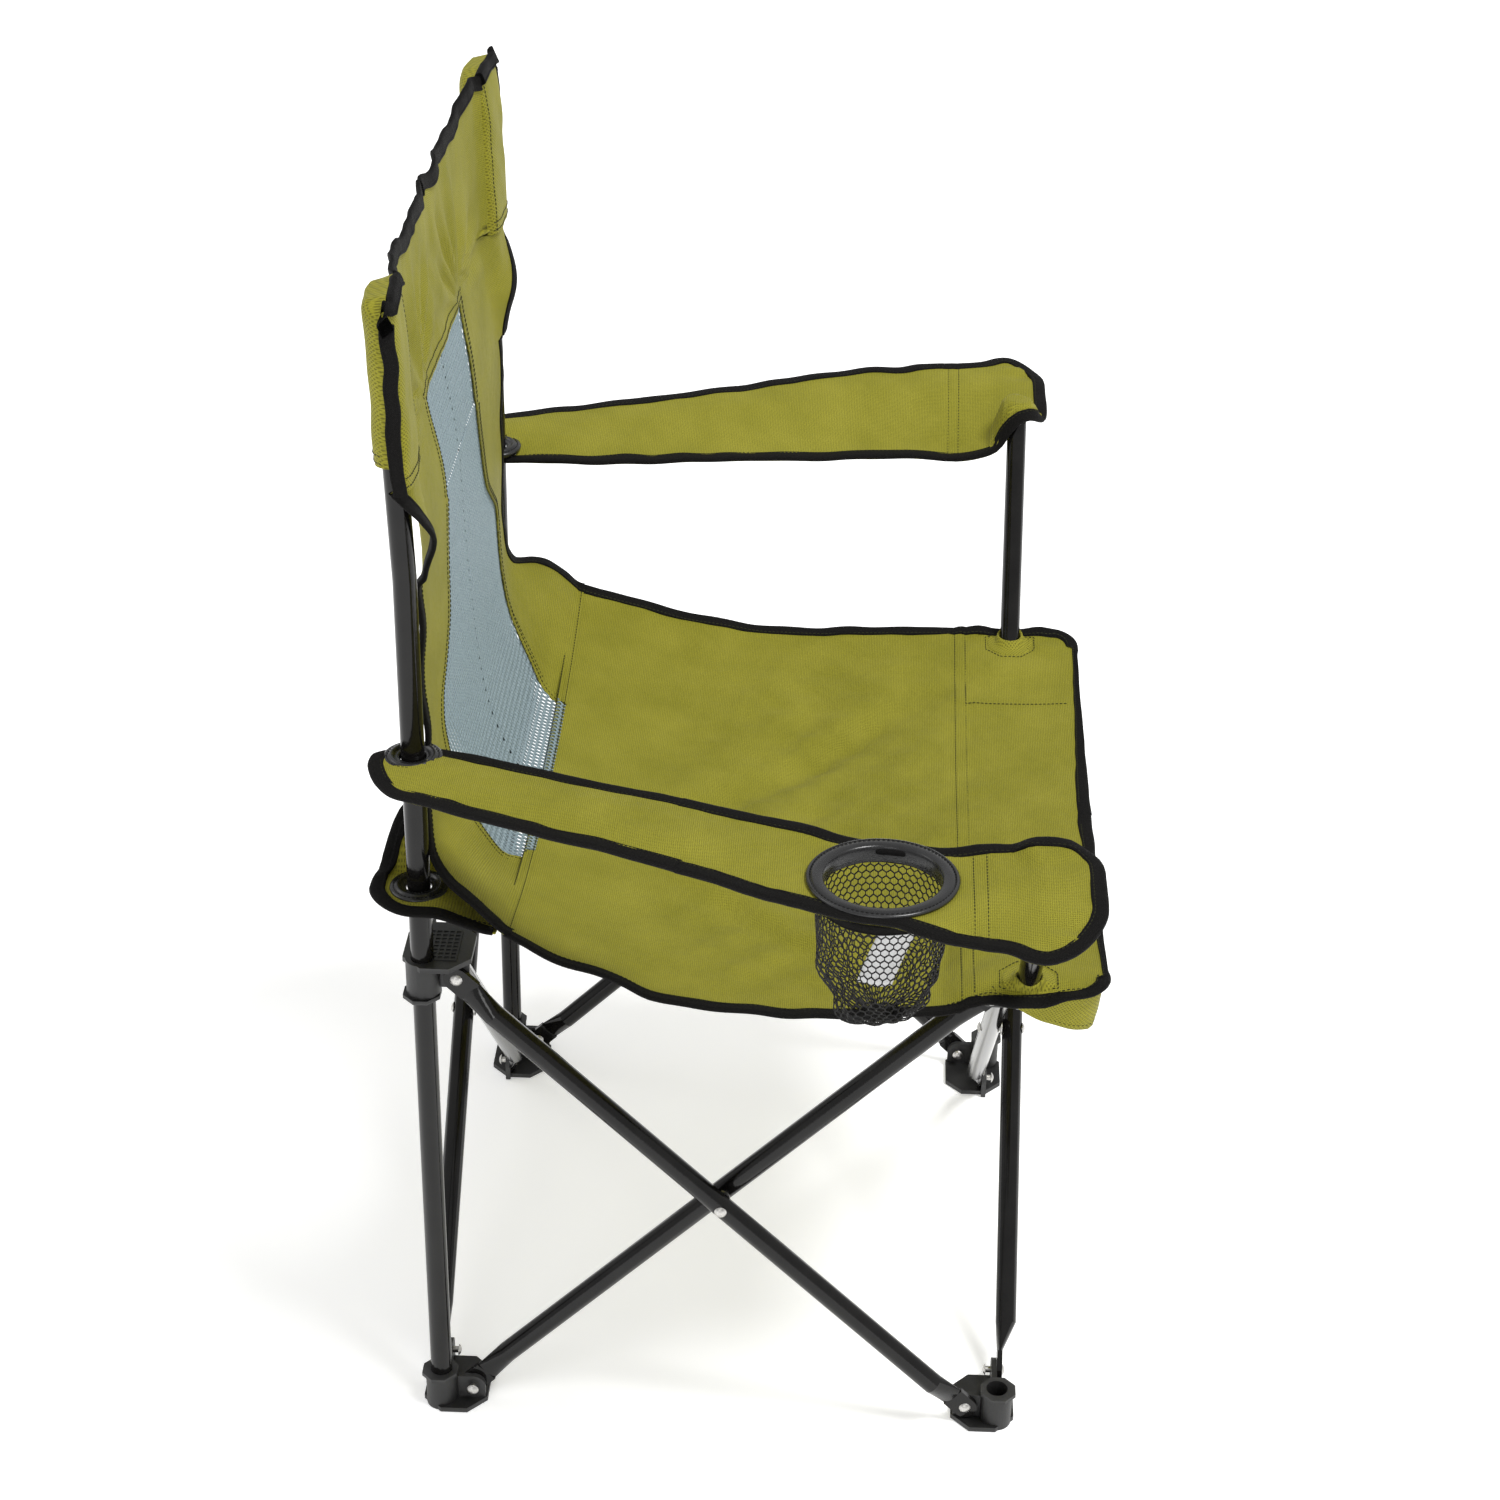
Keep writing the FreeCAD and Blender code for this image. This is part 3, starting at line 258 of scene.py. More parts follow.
def binding(path, normals, towards, closed=False, seed=1, wide=1.0, wobble=0.5, gap=3.5, deep=1.0):
    """A tape folded over a sheet's edge. towards gives each point's way into the sheet."""
    path, (normals, inward), along = resample(path, gap, closed, (normals, towards))
    normals = unit(normals)
    inward = unit(inward - np.sum(inward * normals, axis=1, keepdims=True) * normals)
    count, ring = len(path), len(TAPE)
    shift = wobble * waves(along, along * 0, seed, 45)
    lift = wobble * 0.6 * waves(along, along * 0, seed + 1, 30)
    grow = wide * (1 + 0.05 * waves(along, along * 0, seed + 2, 25))
    points, uv, shade = [], [], []
    around = np.cumsum([0] + [math.dist(TAPE[k], TAPE[k - 1]) for k in range(1, ring)])
    for k, (w, h) in enumerate(TAPE):
        points.append(path + inward * (w * grow + shift)[:, None] + normals * (h * deep + lift)[:, None])
        uv.append(np.stack([along, np.full(count, around[k])], 1))
        w0, h0 = TAPE[k - 1] if k else TAPE[0]
        w1, h1 = TAPE[k + 1] if k < ring - 1 else TAPE[-1]
        shade.append(normals * (w0 - w1) + inward * (h1 - h0))
    points, uv, shade = np.stack(points, 1), np.stack(uv, 1), np.stack(shade, 1)
    faces = []
    for i in range(count if closed else count - 1):
        j = (i + 1) % count
        for k in range(ring):
            m = (k + 1) % ring
            faces.append([i * ring + k, i * ring + m, j * ring + m, j * ring + k])
    if not closed:
        faces.append(list(range(ring))[::-1])
        faces.append([(count - 1) * ring + k for k in range(ring)])
    points, shade = points.reshape(-1, 3), unit(shade).reshape(-1, 3)
    return points, outward(points, faces), uv.reshape(-1, 2), shade


def stitches(path, normals, closed=False, gap=3.4, long=2.5, radius=0.42, lift=0.12):
    """A row of short threads lying on a surface, which has one normal or one for each point."""
    normals = np.broadcast_to(np.asarray(normals, float), np.shape(path))
    spots, (normals,), _ = resample(path, gap, closed, (normals,))
    if closed:
        ahead = unit(np.roll(spots, -1, 0) - np.roll(spots, 1, 0))
    else:
        ahead = unit(np.gradient(spots, axis=0))
    normals = unit(normals)
    side = unit(np.cross(ahead, normals))
    rings = ((-0.5, 0.0, -0.6), (-0.42, 0.75, 0.0), (0.0, 1.0, 0.35), (0.42, 0.75, 0.0), (0.5, 0.0, -0.6))
    turns = 6
    made = []
    for a, r, up in rings:
        for k in range(turns):
            t = 2 * math.pi * k / turns
            made.append(spots + ahead * a * long + side * radius * r * math.cos(t)
                        + normals * (lift + radius * (up + r * math.sin(t))))
    points = np.stack(made, 1)
    count, per = points.shape[:2]
    one = []
    for i in range(len(rings) - 1):
        for k in range(turns):
            m = (k + 1) % turns
            one.append([i * turns + k, i * turns + m, (i + 1) * turns + m, (i + 1) * turns + k])
    faces = [[s * per + i for i in q] for s in range(count) for q in one]
    flat = points.reshape(-1, 3)
    return flat, outward(flat, faces), flat[:, :2], np.repeat(normals, per, axis=0)


def lathe(profile, centre, turns=96, tilt=0.0):
    """A ring: the profile, as (radius, height), turned round a vertical axis."""
    profile = np.array(profile, float)
    angle = np.arange(turns) * 2 * math.pi / turns
    p = np.stack([
        np.outer(np.cos(angle), profile[:, 0]),
        np.outer(np.sin(angle), profile[:, 0]),
        np.tile(profile[:, 1], (turns, 1)),
    ], 2)
    lean = np.array([[math.cos(tilt), 0, math.sin(tilt)], [0, 1, 0], [-math.sin(tilt), 0, math.cos(tilt)]])
    p = p @ lean.T + np.asarray(centre, float)
    ring = len(profile)
    faces = []
    for i in range(turns):
        j = (i + 1) % turns
        for k in range(ring):
            m = (k + 1) % ring
            faces.append([i * ring + k, j * ring + k, j * ring + m, i * ring + m])
    flat = p.reshape(-1, 3)
    return flat, outward(flat, faces), flat[:, :2]


def rods(starts, ends, radius):
    """Thin four-sided yarns between pairs of points."""
    starts, ends = np.asarray(starts, float), np.asarray(ends, float)
    ahead = unit(ends - starts)
    guide = np.where(np.abs(ahead[:, 2:3]) > 0.8, [[1.0, 0, 0]], [[0, 0, 1.0]])
    side = unit(np.cross(ahead, guide))
    up = np.cross(side, ahead)
    corner = []
    for base in (starts, ends):
        for a, b in ((1, 1), (-1, 1), (-1, -1), (1, -1)):
            corner.append(base + (side * a + up * b) * radius * 0.707)
    points = np.stack(corner, 1)
    one = [[0, 1, 5, 4], [1, 2, 6, 5], [2, 3, 7, 6], [3, 0, 4, 7]]
    faces = [[s * 8 + i for i in q] for s in range(len(points)) for q in one]
    flat = points.reshape(-1, 3)
    return flat, outward(flat, faces)


# ---------------------------------------------------------------- materials
class Finish:
    """A material in the making: its shader and the nodes that feed it."""

    def __init__(self, name):
        self.made = bpy.data.materials.new(name)
        self.made.use_nodes = True
        self.tree = self.made.node_tree

    def feed(self, node, inputs):
        """Sets each input to its value, or joins it to the output of another node."""
        for key, value in inputs.items():
            if isinstance(value, bpy.types.NodeSocket):
                self.tree.links.new(value, node.inputs[key])
            else:
                node.inputs[key].default_value = value
        return node

    def shade(self, **inputs):
        self.feed(self.tree.nodes["Principled BSDF"], {k.replace("_", " "): v for k, v in inputs.items()})

    def node(self, kind, inputs=None, **settings):
        made = self.tree.nodes.new(kind)
        for key, value in settings.items():
            setattr(made, key, value)
        return self.feed(made, inputs or {})

    def own(self):
        """The piece's own coordinates, in metres."""
        return self.node("ShaderNodeTexCoord").outputs["Object"]

    def noise(self, where, scale, detail, rough=0.5):
        made = self.node("ShaderNodeTexNoise", {"Vector": where, "Scale": scale, "Detail": detail, "Roughness": rough})
        return made.outputs["Fac"]

    def ramp(self, value, *stops):
        """Colours along a value. Each stop is a place and a colour."""
        made = self.node("ShaderNodeValToRGB", {"Fac": value})
        ends = made.color_ramp.elements
        (low, first), *between, (high, last) = stops
        ends[0].position, ends[0].color = low, (*first, 1)
        ends[1].position, ends[1].color = high, (*last, 1)
        for place, colour in between:
            ends.new(place).color = (*colour, 1)
        return made.outputs["Color"]

    def tint(self, share, a, b):
        """The first colour multiplied by the second."""
        return self.node("ShaderNodeMix", {0: share, 6: a, 7: b}, data_type="RGBA", blend_type="MULTIPLY").outputs[2]

    def spread(self, value, low, high):
        return self.node("ShaderNodeMapRange", {"Value": value, "To Min": low, "To Max": high}).outputs["Result"]

    def relief(self, height, distance, strength, **before):
        made = self.node("ShaderNodeBump", {"Height": height, "Distance": distance, "Strength": strength, **before})
        self.shade(Normal=made.outputs["Normal"])
        return made.outputs["Normal"]

    def weave(self, pitch, twill):
        """The sheet's flat coordinates, turned by the twill, and the height of a weave over them."""
        flat = self.node("ShaderNodeUVMap", uv_map="metric").outputs["UV"]
        flat = self.node("ShaderNodeMapping", {"Vector": flat, "Rotation": (0, 0, math.radians(twill))}).outputs[0]
        one_wave = 0.314159     # the wave node's scale for one wave in each unit of length
        look = {"Vector": flat, "Scale": 1 / pitch * one_wave, "Distortion": 1.1, "Detail": 1.0, "Detail Scale": 2.0}
        yarns = [self.node("ShaderNodeTexWave", look, wave_type="BANDS", bands_direction=way, wave_profile="SIN")
                 for way in ("X", "Y")]
        high = self.node("ShaderNodeMath", dict(enumerate(y.outputs["Fac"] for y in yarns)), operation="MAXIMUM")
        return flat, high.outputs[0]


def woven(name, pitch, twill, sheen):
    """Olive oxford cloth: a weave, a slow drift of colour, faint slubs and a soft sheen."""
    f = Finish(name)
    flat, height = f.weave(pitch, twill)
    drift = f.ramp(f.noise(flat, 0.018, 3, 0.6), (0.32, (0.212, 0.2, 0.0125)), (0.7, (0.266, 0.247, 0.022)))
    slub = f.noise(flat, 1.3, 3, 0.7)
    thread = f.ramp(slub, (0.3, (0.62, 0.62, 0.58)), (0.72, (1.25, 1.25, 1.3)))
    lines = f.ramp(height, (0.15, (0.5, 0.5, 0.46)), (0.85, (1.24, 1.24, 1.28)))
    f.shade(Base_Color=f.tint(0.85, f.tint(0.85, drift, thread), lines), Roughness=f.spread(slub, 0.62, 0.85),
            Sheen_Weight=sheen, Sheen_Roughness=0.45, Sheen_Tint=(0.9, 0.9, 0.75, 1), Specular_IOR_Level=0.22)
    first = f.relief(height, 0.00035, 0.8)
    f.relief(f.noise(flat, 0.09, 4, 0.6), 0.004, 0.35, Normal=first)
    return f.made


def tape_material():
    f = Finish("black_binding_tape")
    flat, height = f.weave(0.9, 45.0)
    fleck = f.ramp(f.noise(flat, 1.6, 2, 0.8), (0.42, (0.003, 0.0028, 0.0026)), (0.6, (0.009, 0.0085, 0.008)),
                   (0.78, (0.045, 0.042, 0.042)))
    lines = f.ramp(height, (0.3, (0.6, 0.6, 0.6)), (0.9, (1.2, 1.2, 1.2)))
    f.shade(Base_Color=f.tint(0.8, fleck, lines), Roughness=0.7, Specular_IOR_Level=0.1)
    first = f.relief(height, 0.0004, 0.9)
    f.relief(f.noise(flat, 0.22, 2, 0.5), 0.0015, 0.5, Normal=first)
    return f.made


def plain(name, dark, light, grain, depth, rough, tone=None, **shading):
    """A plain finish. grain is the noise of its relief, and of its colour too unless there is a tone."""
    f = Finish(name)
    own = f.own()
    grain = f.noise(own, *grain)
    tone = f.noise(own, *tone) if tone else grain
    if isinstance(rough, tuple):
        rough = f.spread(tone, *rough)
    f.shade(Base_Color=f.ramp(tone, dark, light), Roughness=rough, **shading)
    f.relief(grain, *depth)
    return f.made


def thread_material(name, colour):
    dark, light = ((place, tuple(c * share for c in colour)) for place, share in ((0.3, 0.6), (0.75, 1.5)))
    return plain(name, dark, light, (2200, 2), (0.0002, 0.6), 0.7, Specular_IOR_Level=0.2)


def yarn_material(name, dark, light, rough=0.55):
    return plain(name, (0.3, dark), (0.7, light), (900, 3, 0.6), (0.00025, 0.6), rough, Specular_IOR_Level=0.25)


def moulding_material(name, low, high, rough, grain, spot):
    """Moulded plastic: fine spark texture, scuffed to grey along its edges."""
    f = Finish(name)
    own = f.own()
    fine, wide = f.noise(own, 1500, 3, 0.6), f.noise(own, 60, 4, 0.65)
    edge = f.node("ShaderNodeNewGeometry").outputs["Pointiness"]
    worn = {0: f.ramp(edge, (0.5, (0, 0, 0)), (0.62, (1, 1, 1))), 1: wide}
    pale = {0: f.node("ShaderNodeMath", worn, operation="MULTIPLY").outputs[0],
            1: f.ramp(wide, (0.3, low), (0.75, high)), 2: (spot, spot, spot, 1)}
    f.shade(Base_Color=f.node("ShaderNodeMixRGB", pale, blend_type="MIX").outputs[0], Roughness=f.spread(fine, *rough))
    f.relief(fine, grain, 0.5)
    return f.made


OLIVE = woven("olive_oxford", 1.35, 0.0, 0.05)
OLIVE_BIAS = woven("olive_oxford_bias", 1.9, 38.0, 0.06)
TAPE_BLACK = tape_material()
THREAD = thread_material("dark_green_thread", (0.02, 0.021, 0.006))
THREAD_BLACK = thread_material("black_thread", (0.006, 0.0055, 0.0055))
TUBE_BLACK = plain("gloss_black_powder_coat", (0.35, (0.0035, 0.0033, 0.0032)), (0.75, (0.009, 0.0085, 0.008)),
                   (650, 3, 0.55), (0.00012, 0.35), (0.07, 0.15), tone=(35, 4, 0.7), Specular_IOR_Level=0.3)
HUB_PLASTIC = moulding_material("moulded_hub_plastic", (0.0045, 0.0045, 0.0045), (0.012, 0.012, 0.0118),
                                (0.38, 0.58), 0.0003, 0.05)
RING_PLASTIC = moulding_material("moulded_ring_plastic", (0.006, 0.006, 0.0062), (0.013, 0.0135, 0.0145),
                                 (0.2, 0.32), 0.00008, 0.04)
CAP_PLASTIC = moulding_material("moulded_cap_plastic", (0.008, 0.008, 0.008), (0.02, 0.02, 0.02),
                                (0.3, 0.45), 0.00015, 0.08)
ZINC = plain("zinc_rivet", (0.3, (0.42, 0.41, 0.39)), (0.75, (0.68, 0.67, 0.65)),
             (900, 3, 0.6), (0.0002, 0.3), (0.25, 0.5), Metallic=1.0)
MESH_YARN = yarn_material("grey_blue_mesh_yarn", (0.185, 0.245, 0.27), (0.28, 0.355, 0.38))
NET_YARN = yarn_material("black_net_yarn", (0.003, 0.003, 0.003), (0.011, 0.0105, 0.01))
TAG_CLOTH = yarn_material("white_satin_tag", (0.72, 0.72, 0.72), (0.88, 0.88, 0.88), 0.4)


def add_tape(name, part):
    return add(name, part, TAPE_BLACK)


def add_sewing(name, rows, thread=THREAD):
    """All these rows of stitches as one piece."""
    points, faces, _, normals = stack(rows)
    return add(name, (points, faces, None, normals), thread)


# ---------------------------------------------------------------- how the pieces travel as the chair folds
def with_seat(obj, label):
    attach(obj, "seat_%s_half" % label)
    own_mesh(obj)


def with_back(obj, label):
    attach(obj, "back_%s_half" % label)
    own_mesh(obj)


def with_arm(obj, label, end):
    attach(obj, "armrest_%s_%s_half" % (label, end))


# ---------------------------------------------------------------- the seat
BAND_Y = CY - 173
SEAT_ROUND = 18.0
seat_wide = line_through((0, 0.08, 0.3, 0.55, 0.85, 1), (258, 259, 264, 268, 264, 257))
SEAT_DEEP = SEAM_Y - SEAT_FRONT

# the heights of the seat's two side edges and of its middle, over the post patches, from front to back
SEAT_NEAR = line_through((-262, -244, -231, -218, -177, -157, -136, -95, -54, -13, 28, 49, 69, 89, 110, 152),
                         (3, 0, -4, -7, -8, -15, -17, -16.5, -18, -16, -12, -8, 2, 10, 16, 37))
SEAT_FAR = line_through((-252, -202, -152, -102, -52, -2, 49, 99, 132, 156), (8, 6, 4, -1, -4, -3, 4, 18, 28, 36))
SEAT_MIDDLE = line_through((-265, -160, -50, 50, 110, 152), (-12, -19, -31, -28, -14, 2))


def seat_point(x, along):
    """A point of the seat's cloth: x in millimetres, along from 0 in front to 1 at the seam."""
    share = np.clip(np.abs(x) / seat_wide(along), 0, 1)
    y = SEAT_FRONT + SEAT_DEEP * along
    deep = y - CY
    bow = np.sin(np.pi * np.clip(along, 0, 1))
    side_z = np.where(np.asarray(x) < 0, SEAT_NEAR(deep), SEAT_FAR(deep))
    middle_z = SEAT_MIDDLE(deep)
    z = PATCH_Z + middle_z + (side_z - middle_z) * share ** 2.2
    inner = bow * step(0, 0.25, 1 - share)
    rumple = 1.6 * waves(x, y, 3, 150) * (0.25 + 0.75 * inner)
    fold_a = bump(x * 0.75 + deep * 0.66, 30, 17) * bump(deep, -30, 105) * 9.0 * step(0, 0.2, 1 - share)
    fold_b = bump(x * 0.72 - deep * 0.69, -75, 15) * bump(deep, -20, 85) * 8.0 * step(0, 0.2, 1 - share)
    fold_c = bump(x * 0.34 - deep * 0.94, 20, 13) * bump(x, -80, 95) * 6.0 * inner
    creases = 2.4 * waves(x * 1.2 + y * 0.5, y * 1.3 - x * 0.4, 12, 60) * inner * bump(deep, -60, 120)
    seams = -0.9 * (bump(y, BAND_Y, 2.4) + bump(y, BAND_Y + 8.5, 2.4)) + 0.6 * bump(y, BAND_Y + 4.2, 3.4)
    pucker = 0.75 * np.sin(x / 6.1 + 1.7 * np.sin(x / 23)) * bump(np.abs(y - BAND_Y - 4), 10, 8)
    pucker = pucker + 0.6 * np.sin(x / 7.3 + np.sin(x / 31)) * bump(y, SEAM_Y - 20, 9)
    around = np.hypot(np.abs(x) - PATCH_X, y - PATCH_Y)
    angle = np.arctan2(y - PATCH_Y, np.abs(x) - PATCH_X)
    gathers = 1.5 * np.cos(7 * angle) * bump(around, 32, 9) - 1.6 * bump(around, 0, 18)
    edge = seat_wide(along) - np.abs(x)
    ruffle = 1.8 * waves(y * 1.0, y * 0 + np.sign(x) * 40, 8, 60) * bump(edge, 0, 22)
    ruffle = ruffle + 1.6 * waves(x * 1.0, x * 0, 9, 95) * bump(y, SEAT_FRONT, 20)
    soft = rumple - fold_a + fold_b + fold_c + creases + seams + pucker + gathers + ruffle
    z = z + soft * step(SEAM_Y + 6, SEAM_Y - 8, y)
    z = z + np.maximum(PATCH_Z + 1 - z, 0) * step(62, 20, around) * step(0, 16, edge)
    off_x = np.maximum(np.maximum(HUB_LOW[0] - 5 - np.abs(x), np.abs(x) - HUB_HIGH[0] - 5), 0)
    off_y = np.maximum(np.maximum(HUB_LOW[1] - 5 - y, y - HUB_HIGH[1] - 5), 0)
    z = z + np.maximum(HUB_HIGH[2] + 1.8 - z, 0) * step(18, 2, np.hypot(off_x, off_y))
    return np.stack([x + 0 * y, y + 0 * x, z], -1)


def seat_at(x, y):
    return seat_point(x, (y - SEAT_FRONT) / SEAT_DEEP)


def seat_rows():
    d = [SEAT_ROUND * (1 - math.cos(a)) for a in np.linspace(0, math.pi / 2, 9)]
    rest = np.arange(SEAT_ROUND + 5, SEAT_DEEP, 5.2)
    return np.concatenate([d, rest, [SEAT_DEEP]]) / SEAT_DEEP


def corner_inset(distance, radius):
    """How far a rounded corner draws in at that distance from the end."""
    d = np.clip(distance, 0, radius)
    return radius - np.sqrt(np.maximum(radius ** 2 - (radius - d) ** 2, 0))


def seat_half(label, side):
    along = seat_rows()
    half = np.linspace(0, 1, 47)
    share = np.concatenate([-half[:0:-1], half])
    wide = seat_wide(along) - corner_inset(along * SEAT_DEEP, SEAT_ROUND)
    x = share[None, :] * wide[:, None]
    p = seat_point(x, np.broadcast_to(along[:, None], x.shape))
    n = -grid_normals(p)
    n *= np.sign(n[..., 2:3])
    uv = np.stack([p[..., 0], p[..., 1]], -1)
    middle = len(half) - 1
    pick = slice(middle, None) if side > 0 else slice(0, middle + 1)
    q, m = p[:, pick], n[:, pick]
    mid = cells(q)
    hole = np.hypot(np.abs(mid[..., 0]) - PATCH_X, mid[..., 1] - PATCH_Y) > HOLE["post"]
    part = used_only(shell(q, m, uv[:, pick], hole))
    cloth = add("seat_%s_cloth" % label, part, OLIVE, "seat_%s" % label)

    if side < 0:
        q, m = q[:, ::-1], m[:, ::-1]
    path, norm = (np.concatenate([g[0], g[1:, -1]]) for g in (q, m))
    into = np.concatenate([q[4] - q[0], q[1:, -5] - q[1:, -1]])
    corner = slice(len(q[0]) - 2, len(q[0]) + 8)
    round_centre = np.array([side * (seat_wide(0) - SEAT_ROUND), SEAT_FRONT + SEAT_ROUND, 0])
    into[corner] = (round_centre - path[corner]) * [1, 1, 0]
    path, norm, into = path[:-1], norm[:-1], into[:-1]
    edge = add_tape("seat_%s_binding" % label, binding(path, norm, into, seed=20 + side))

    lines = [seat_at(np.linspace(0, seat_wide((y - SEAT_FRONT) / SEAT_DEEP) - 9, 120) * side, np.full(120, y))
             for y in (BAND_Y, BAND_Y + SEAM_PITCH)]
    lines.append(seat_at(np.full(40, side * 158.0), np.linspace(SEAT_FRONT + 12, BAND_Y, 40)))
    made = [stitches(line + [0, 0, CLOTH], UP) for line in lines]
    for radius in (15.5, 20.0):
        a = np.linspace(0, 2 * math.pi, 49)[:-1]
        octagon = radius / np.maximum(np.abs(np.cos((a + math.pi / 8) % (math.pi / 4) - math.pi / 8)), 0.9)
        ys = PATCH_Y + octagon * np.sin(a)
        room = seat_wide((ys - SEAT_FRONT) / SEAT_DEEP) - 10.5
        xs = side * np.minimum(PATCH_X + octagon * np.cos(a), room)
        made.append(stitches(seat_at(xs, ys) + [0, 0, CLOTH], UP, closed=True))
    in_tape = path + unit(into) * TAPE_ROW + unit(norm) * 1.5
    made.insert(3, stitches(in_tape[3:], norm[3:]))
    sewing = add_sewing("seat_%s_stitching" % label, made)
    for piece in (cloth, edge, sewing):
        with_seat(piece, label)


def seat_ear(label, side):
    """The tongue behind the seam that goes round the back pole; its inner side climbs behind the backrest."""
    radius = 32.0
    end_y = POLE_Y + radius
    start_y = SEAM_Y + 2
    long = end_y - start_y
    back = [radius * (1 - math.cos(a)) for a in np.linspace(0.12, math.pi / 2, 10)]
    ahead = np.arange(radius + 4.5, long, 4.5)
    ys = end_y - np.concatenate([back, ahead, [long]])
    left = line_through((0, 0.35, 0.6, 1), (POLE_X - 22, POLE_X - 24, POLE_X - 36, POLE_X - 36))
    right = line_through((0, 0.35, 0.7, 1), (257, 259, 259, POLE_X + radius))
    t = (ys - start_y) / long
    inset = corner_inset(end_y - ys, radius)
    x0, x1 = left(t) + inset, right(t) - inset
    share = np.linspace(0, 1, 25)
    x = x0[:, None] + (x1 - x0)[:, None] * share[None, :]
    y = np.broadcast_to(ys[:, None], x.shape)
    seam_z = seat_point(side * x, np.ones_like(x))[..., 2] - 3.2
    up = step(0, 0.5, (y - start_y) / long)
    z = seam_z + (EAR_Z - seam_z) * up + 0.8 * waves(x, y, 31 + side, 50)
    inner = np.clip((POLE_X - 17 - x) / 22, 0, 2)
    z = z + 64 * inner ** 1.25 * step(POLE_Y - 14, POLE_Y + 12, y)
    p = np.stack([side * x, y, z], -1)
    n = grid_normals(p)
    n *= np.sign(n[..., 2:3])
    uv = np.stack([x * 0.8 + y * 0.6, y * 0.8 - x * 0.6], -1)
    mid = cells(p)
    keep = np.hypot(np.abs(mid[..., 0]) - POLE_X, mid[..., 1] - POLE_Y) > HOLE["ear"]
    cloth = add("seat_ear_%s" % label, used_only(shell(p, n, uv, keep))[:3], OLIVE_BIAS)
    loop, norm = (np.concatenate([g[::-1, 0], g[0, 1:], g[1:-1, -1]]) for g in (p, n))
    centre = np.stack([np.full(len(loop), side * POLE_X), np.minimum(loop[:, 1], POLE_Y), loop[:, 2]], 1)
    tape = binding(loop, norm, centre - loop, seed=41 + side, gap=2.8, wobble=0.3)
    edge = add_tape("seat_ear_%s_binding" % label, tape)
    in_tape = loop + unit((centre - loop) * [1, 1, 0]) * TAPE_ROW + norm * 1.7
    sewing = add_sewing("seat_ear_%s_stitching" % label, [stitches(in_tape, norm)], THREAD_BLACK)
    for piece in (cloth, edge, sewing):
        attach(piece, "rear_%s_hub" % label)


def corner_flap(label, side):
    """The doubled corner that hangs under the seat's front edge: a triangle with a rounded tip."""
    rows, cols = 10, 25
    s, t = np.meshgrid(np.linspace(0, 1, cols), np.linspace(0, 1, rows))
    y = SEAT_FRONT + 4 + 74 * s
    drop = 38 * (1 - s) ** 0.9 * (1 - 0.4 * (1 - np.clip(s / 0.07, 0, 1)) ** 2)
    x = side * (seat_wide(0.05) - 4 - 13 * (1 - np.clip(s / 0.3, 0, 1)) ** 2.2 - 3 * t)
    top = seat_at(x, y)[..., 2] - 1.5
    z = top - drop * t + 0.7 * np.sin(s * 9) * t
    p = np.stack([x, y + 2.0 * t, z], -1)
    n = grid_normals(p)
    n = n * np.sign(n[..., 0:1]) * side
    part = shell(p, n, np.stack([y, z], -1))
    cloth = add("seat_corner_flap_%s" % label, part[:3], OLIVE_BIAS)
    hem = p[-1, 1:] + [0, 0, 3.8] + n[-1, 1:] * CLOTH
    sewing = add_sewing("seat_corner_flap_%s_stitching" % label, [stitches(hem, n[-1, 1:])])
    for piece in (cloth, sewing):
        with_seat(piece, label)


def post_patch(label, side):
    """The ring of doubled cloth that the arm post passes through: it hugs the leaning post."""
    profile = ((8.7, 6.2), (9.1, 7.2), (10.0, 7.3), (10.7, 6.4), (11.6, 3.4), (13.4, 1.9), (16.5, 1.7), (18.2, 1.3),
               (18.8, 0.4), (18.6, -0.8), (16.0, -1.6), (13.0, -1.6), (9.6, -0.8), (8.7, 1.4))
    points, faces, uv = lathe(profile, (side * PATCH_X, PATCH_Y, 0), 72)
    points[:, 2] += seat_at(points[:, 0], points[:, 1])[:, 2]
    lean = (POST_TOP_X - PATCH_X) / (POST_TOP - PATCH_Z)
    points[:, 0] += side * lean * (points[:, 2] - PATCH_Z)
    name = "seat_post_patch_%s" % label
    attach(add(name + "_cloth", (points, faces, uv), OLIVE_BIAS, name), "%s_post" % label)


# ---------------------------------------------------------------- the backrest
BEND_Z = 700.0
POLE_SLOPE = (centre_mm("pole_cap_left")[1] - POLE_Y) / (centre_mm("pole_cap_left")[2] - BEND_Z)
LAP = 8.0                       # how far the backrest laps onto the seat at their seam
WINDOW_TOP = 766.0
POCKET_FROM = 777.0
POCKET_IN, POCKET_OUT = 198.0, 256.0
POCKET_TOP = CAP_TOP + 5


def pole_y(z):
    return POLE_Y + np.maximum(np.asarray(z, float) - BEND_Z, 0) * POLE_SLOPE


def pocket_edge_y(z):
    """The outer seam of a corner pocket."""
    return CY + 206 + 3 * (z - POCKET_FROM) / (POCKET_TOP - POCKET_FROM)


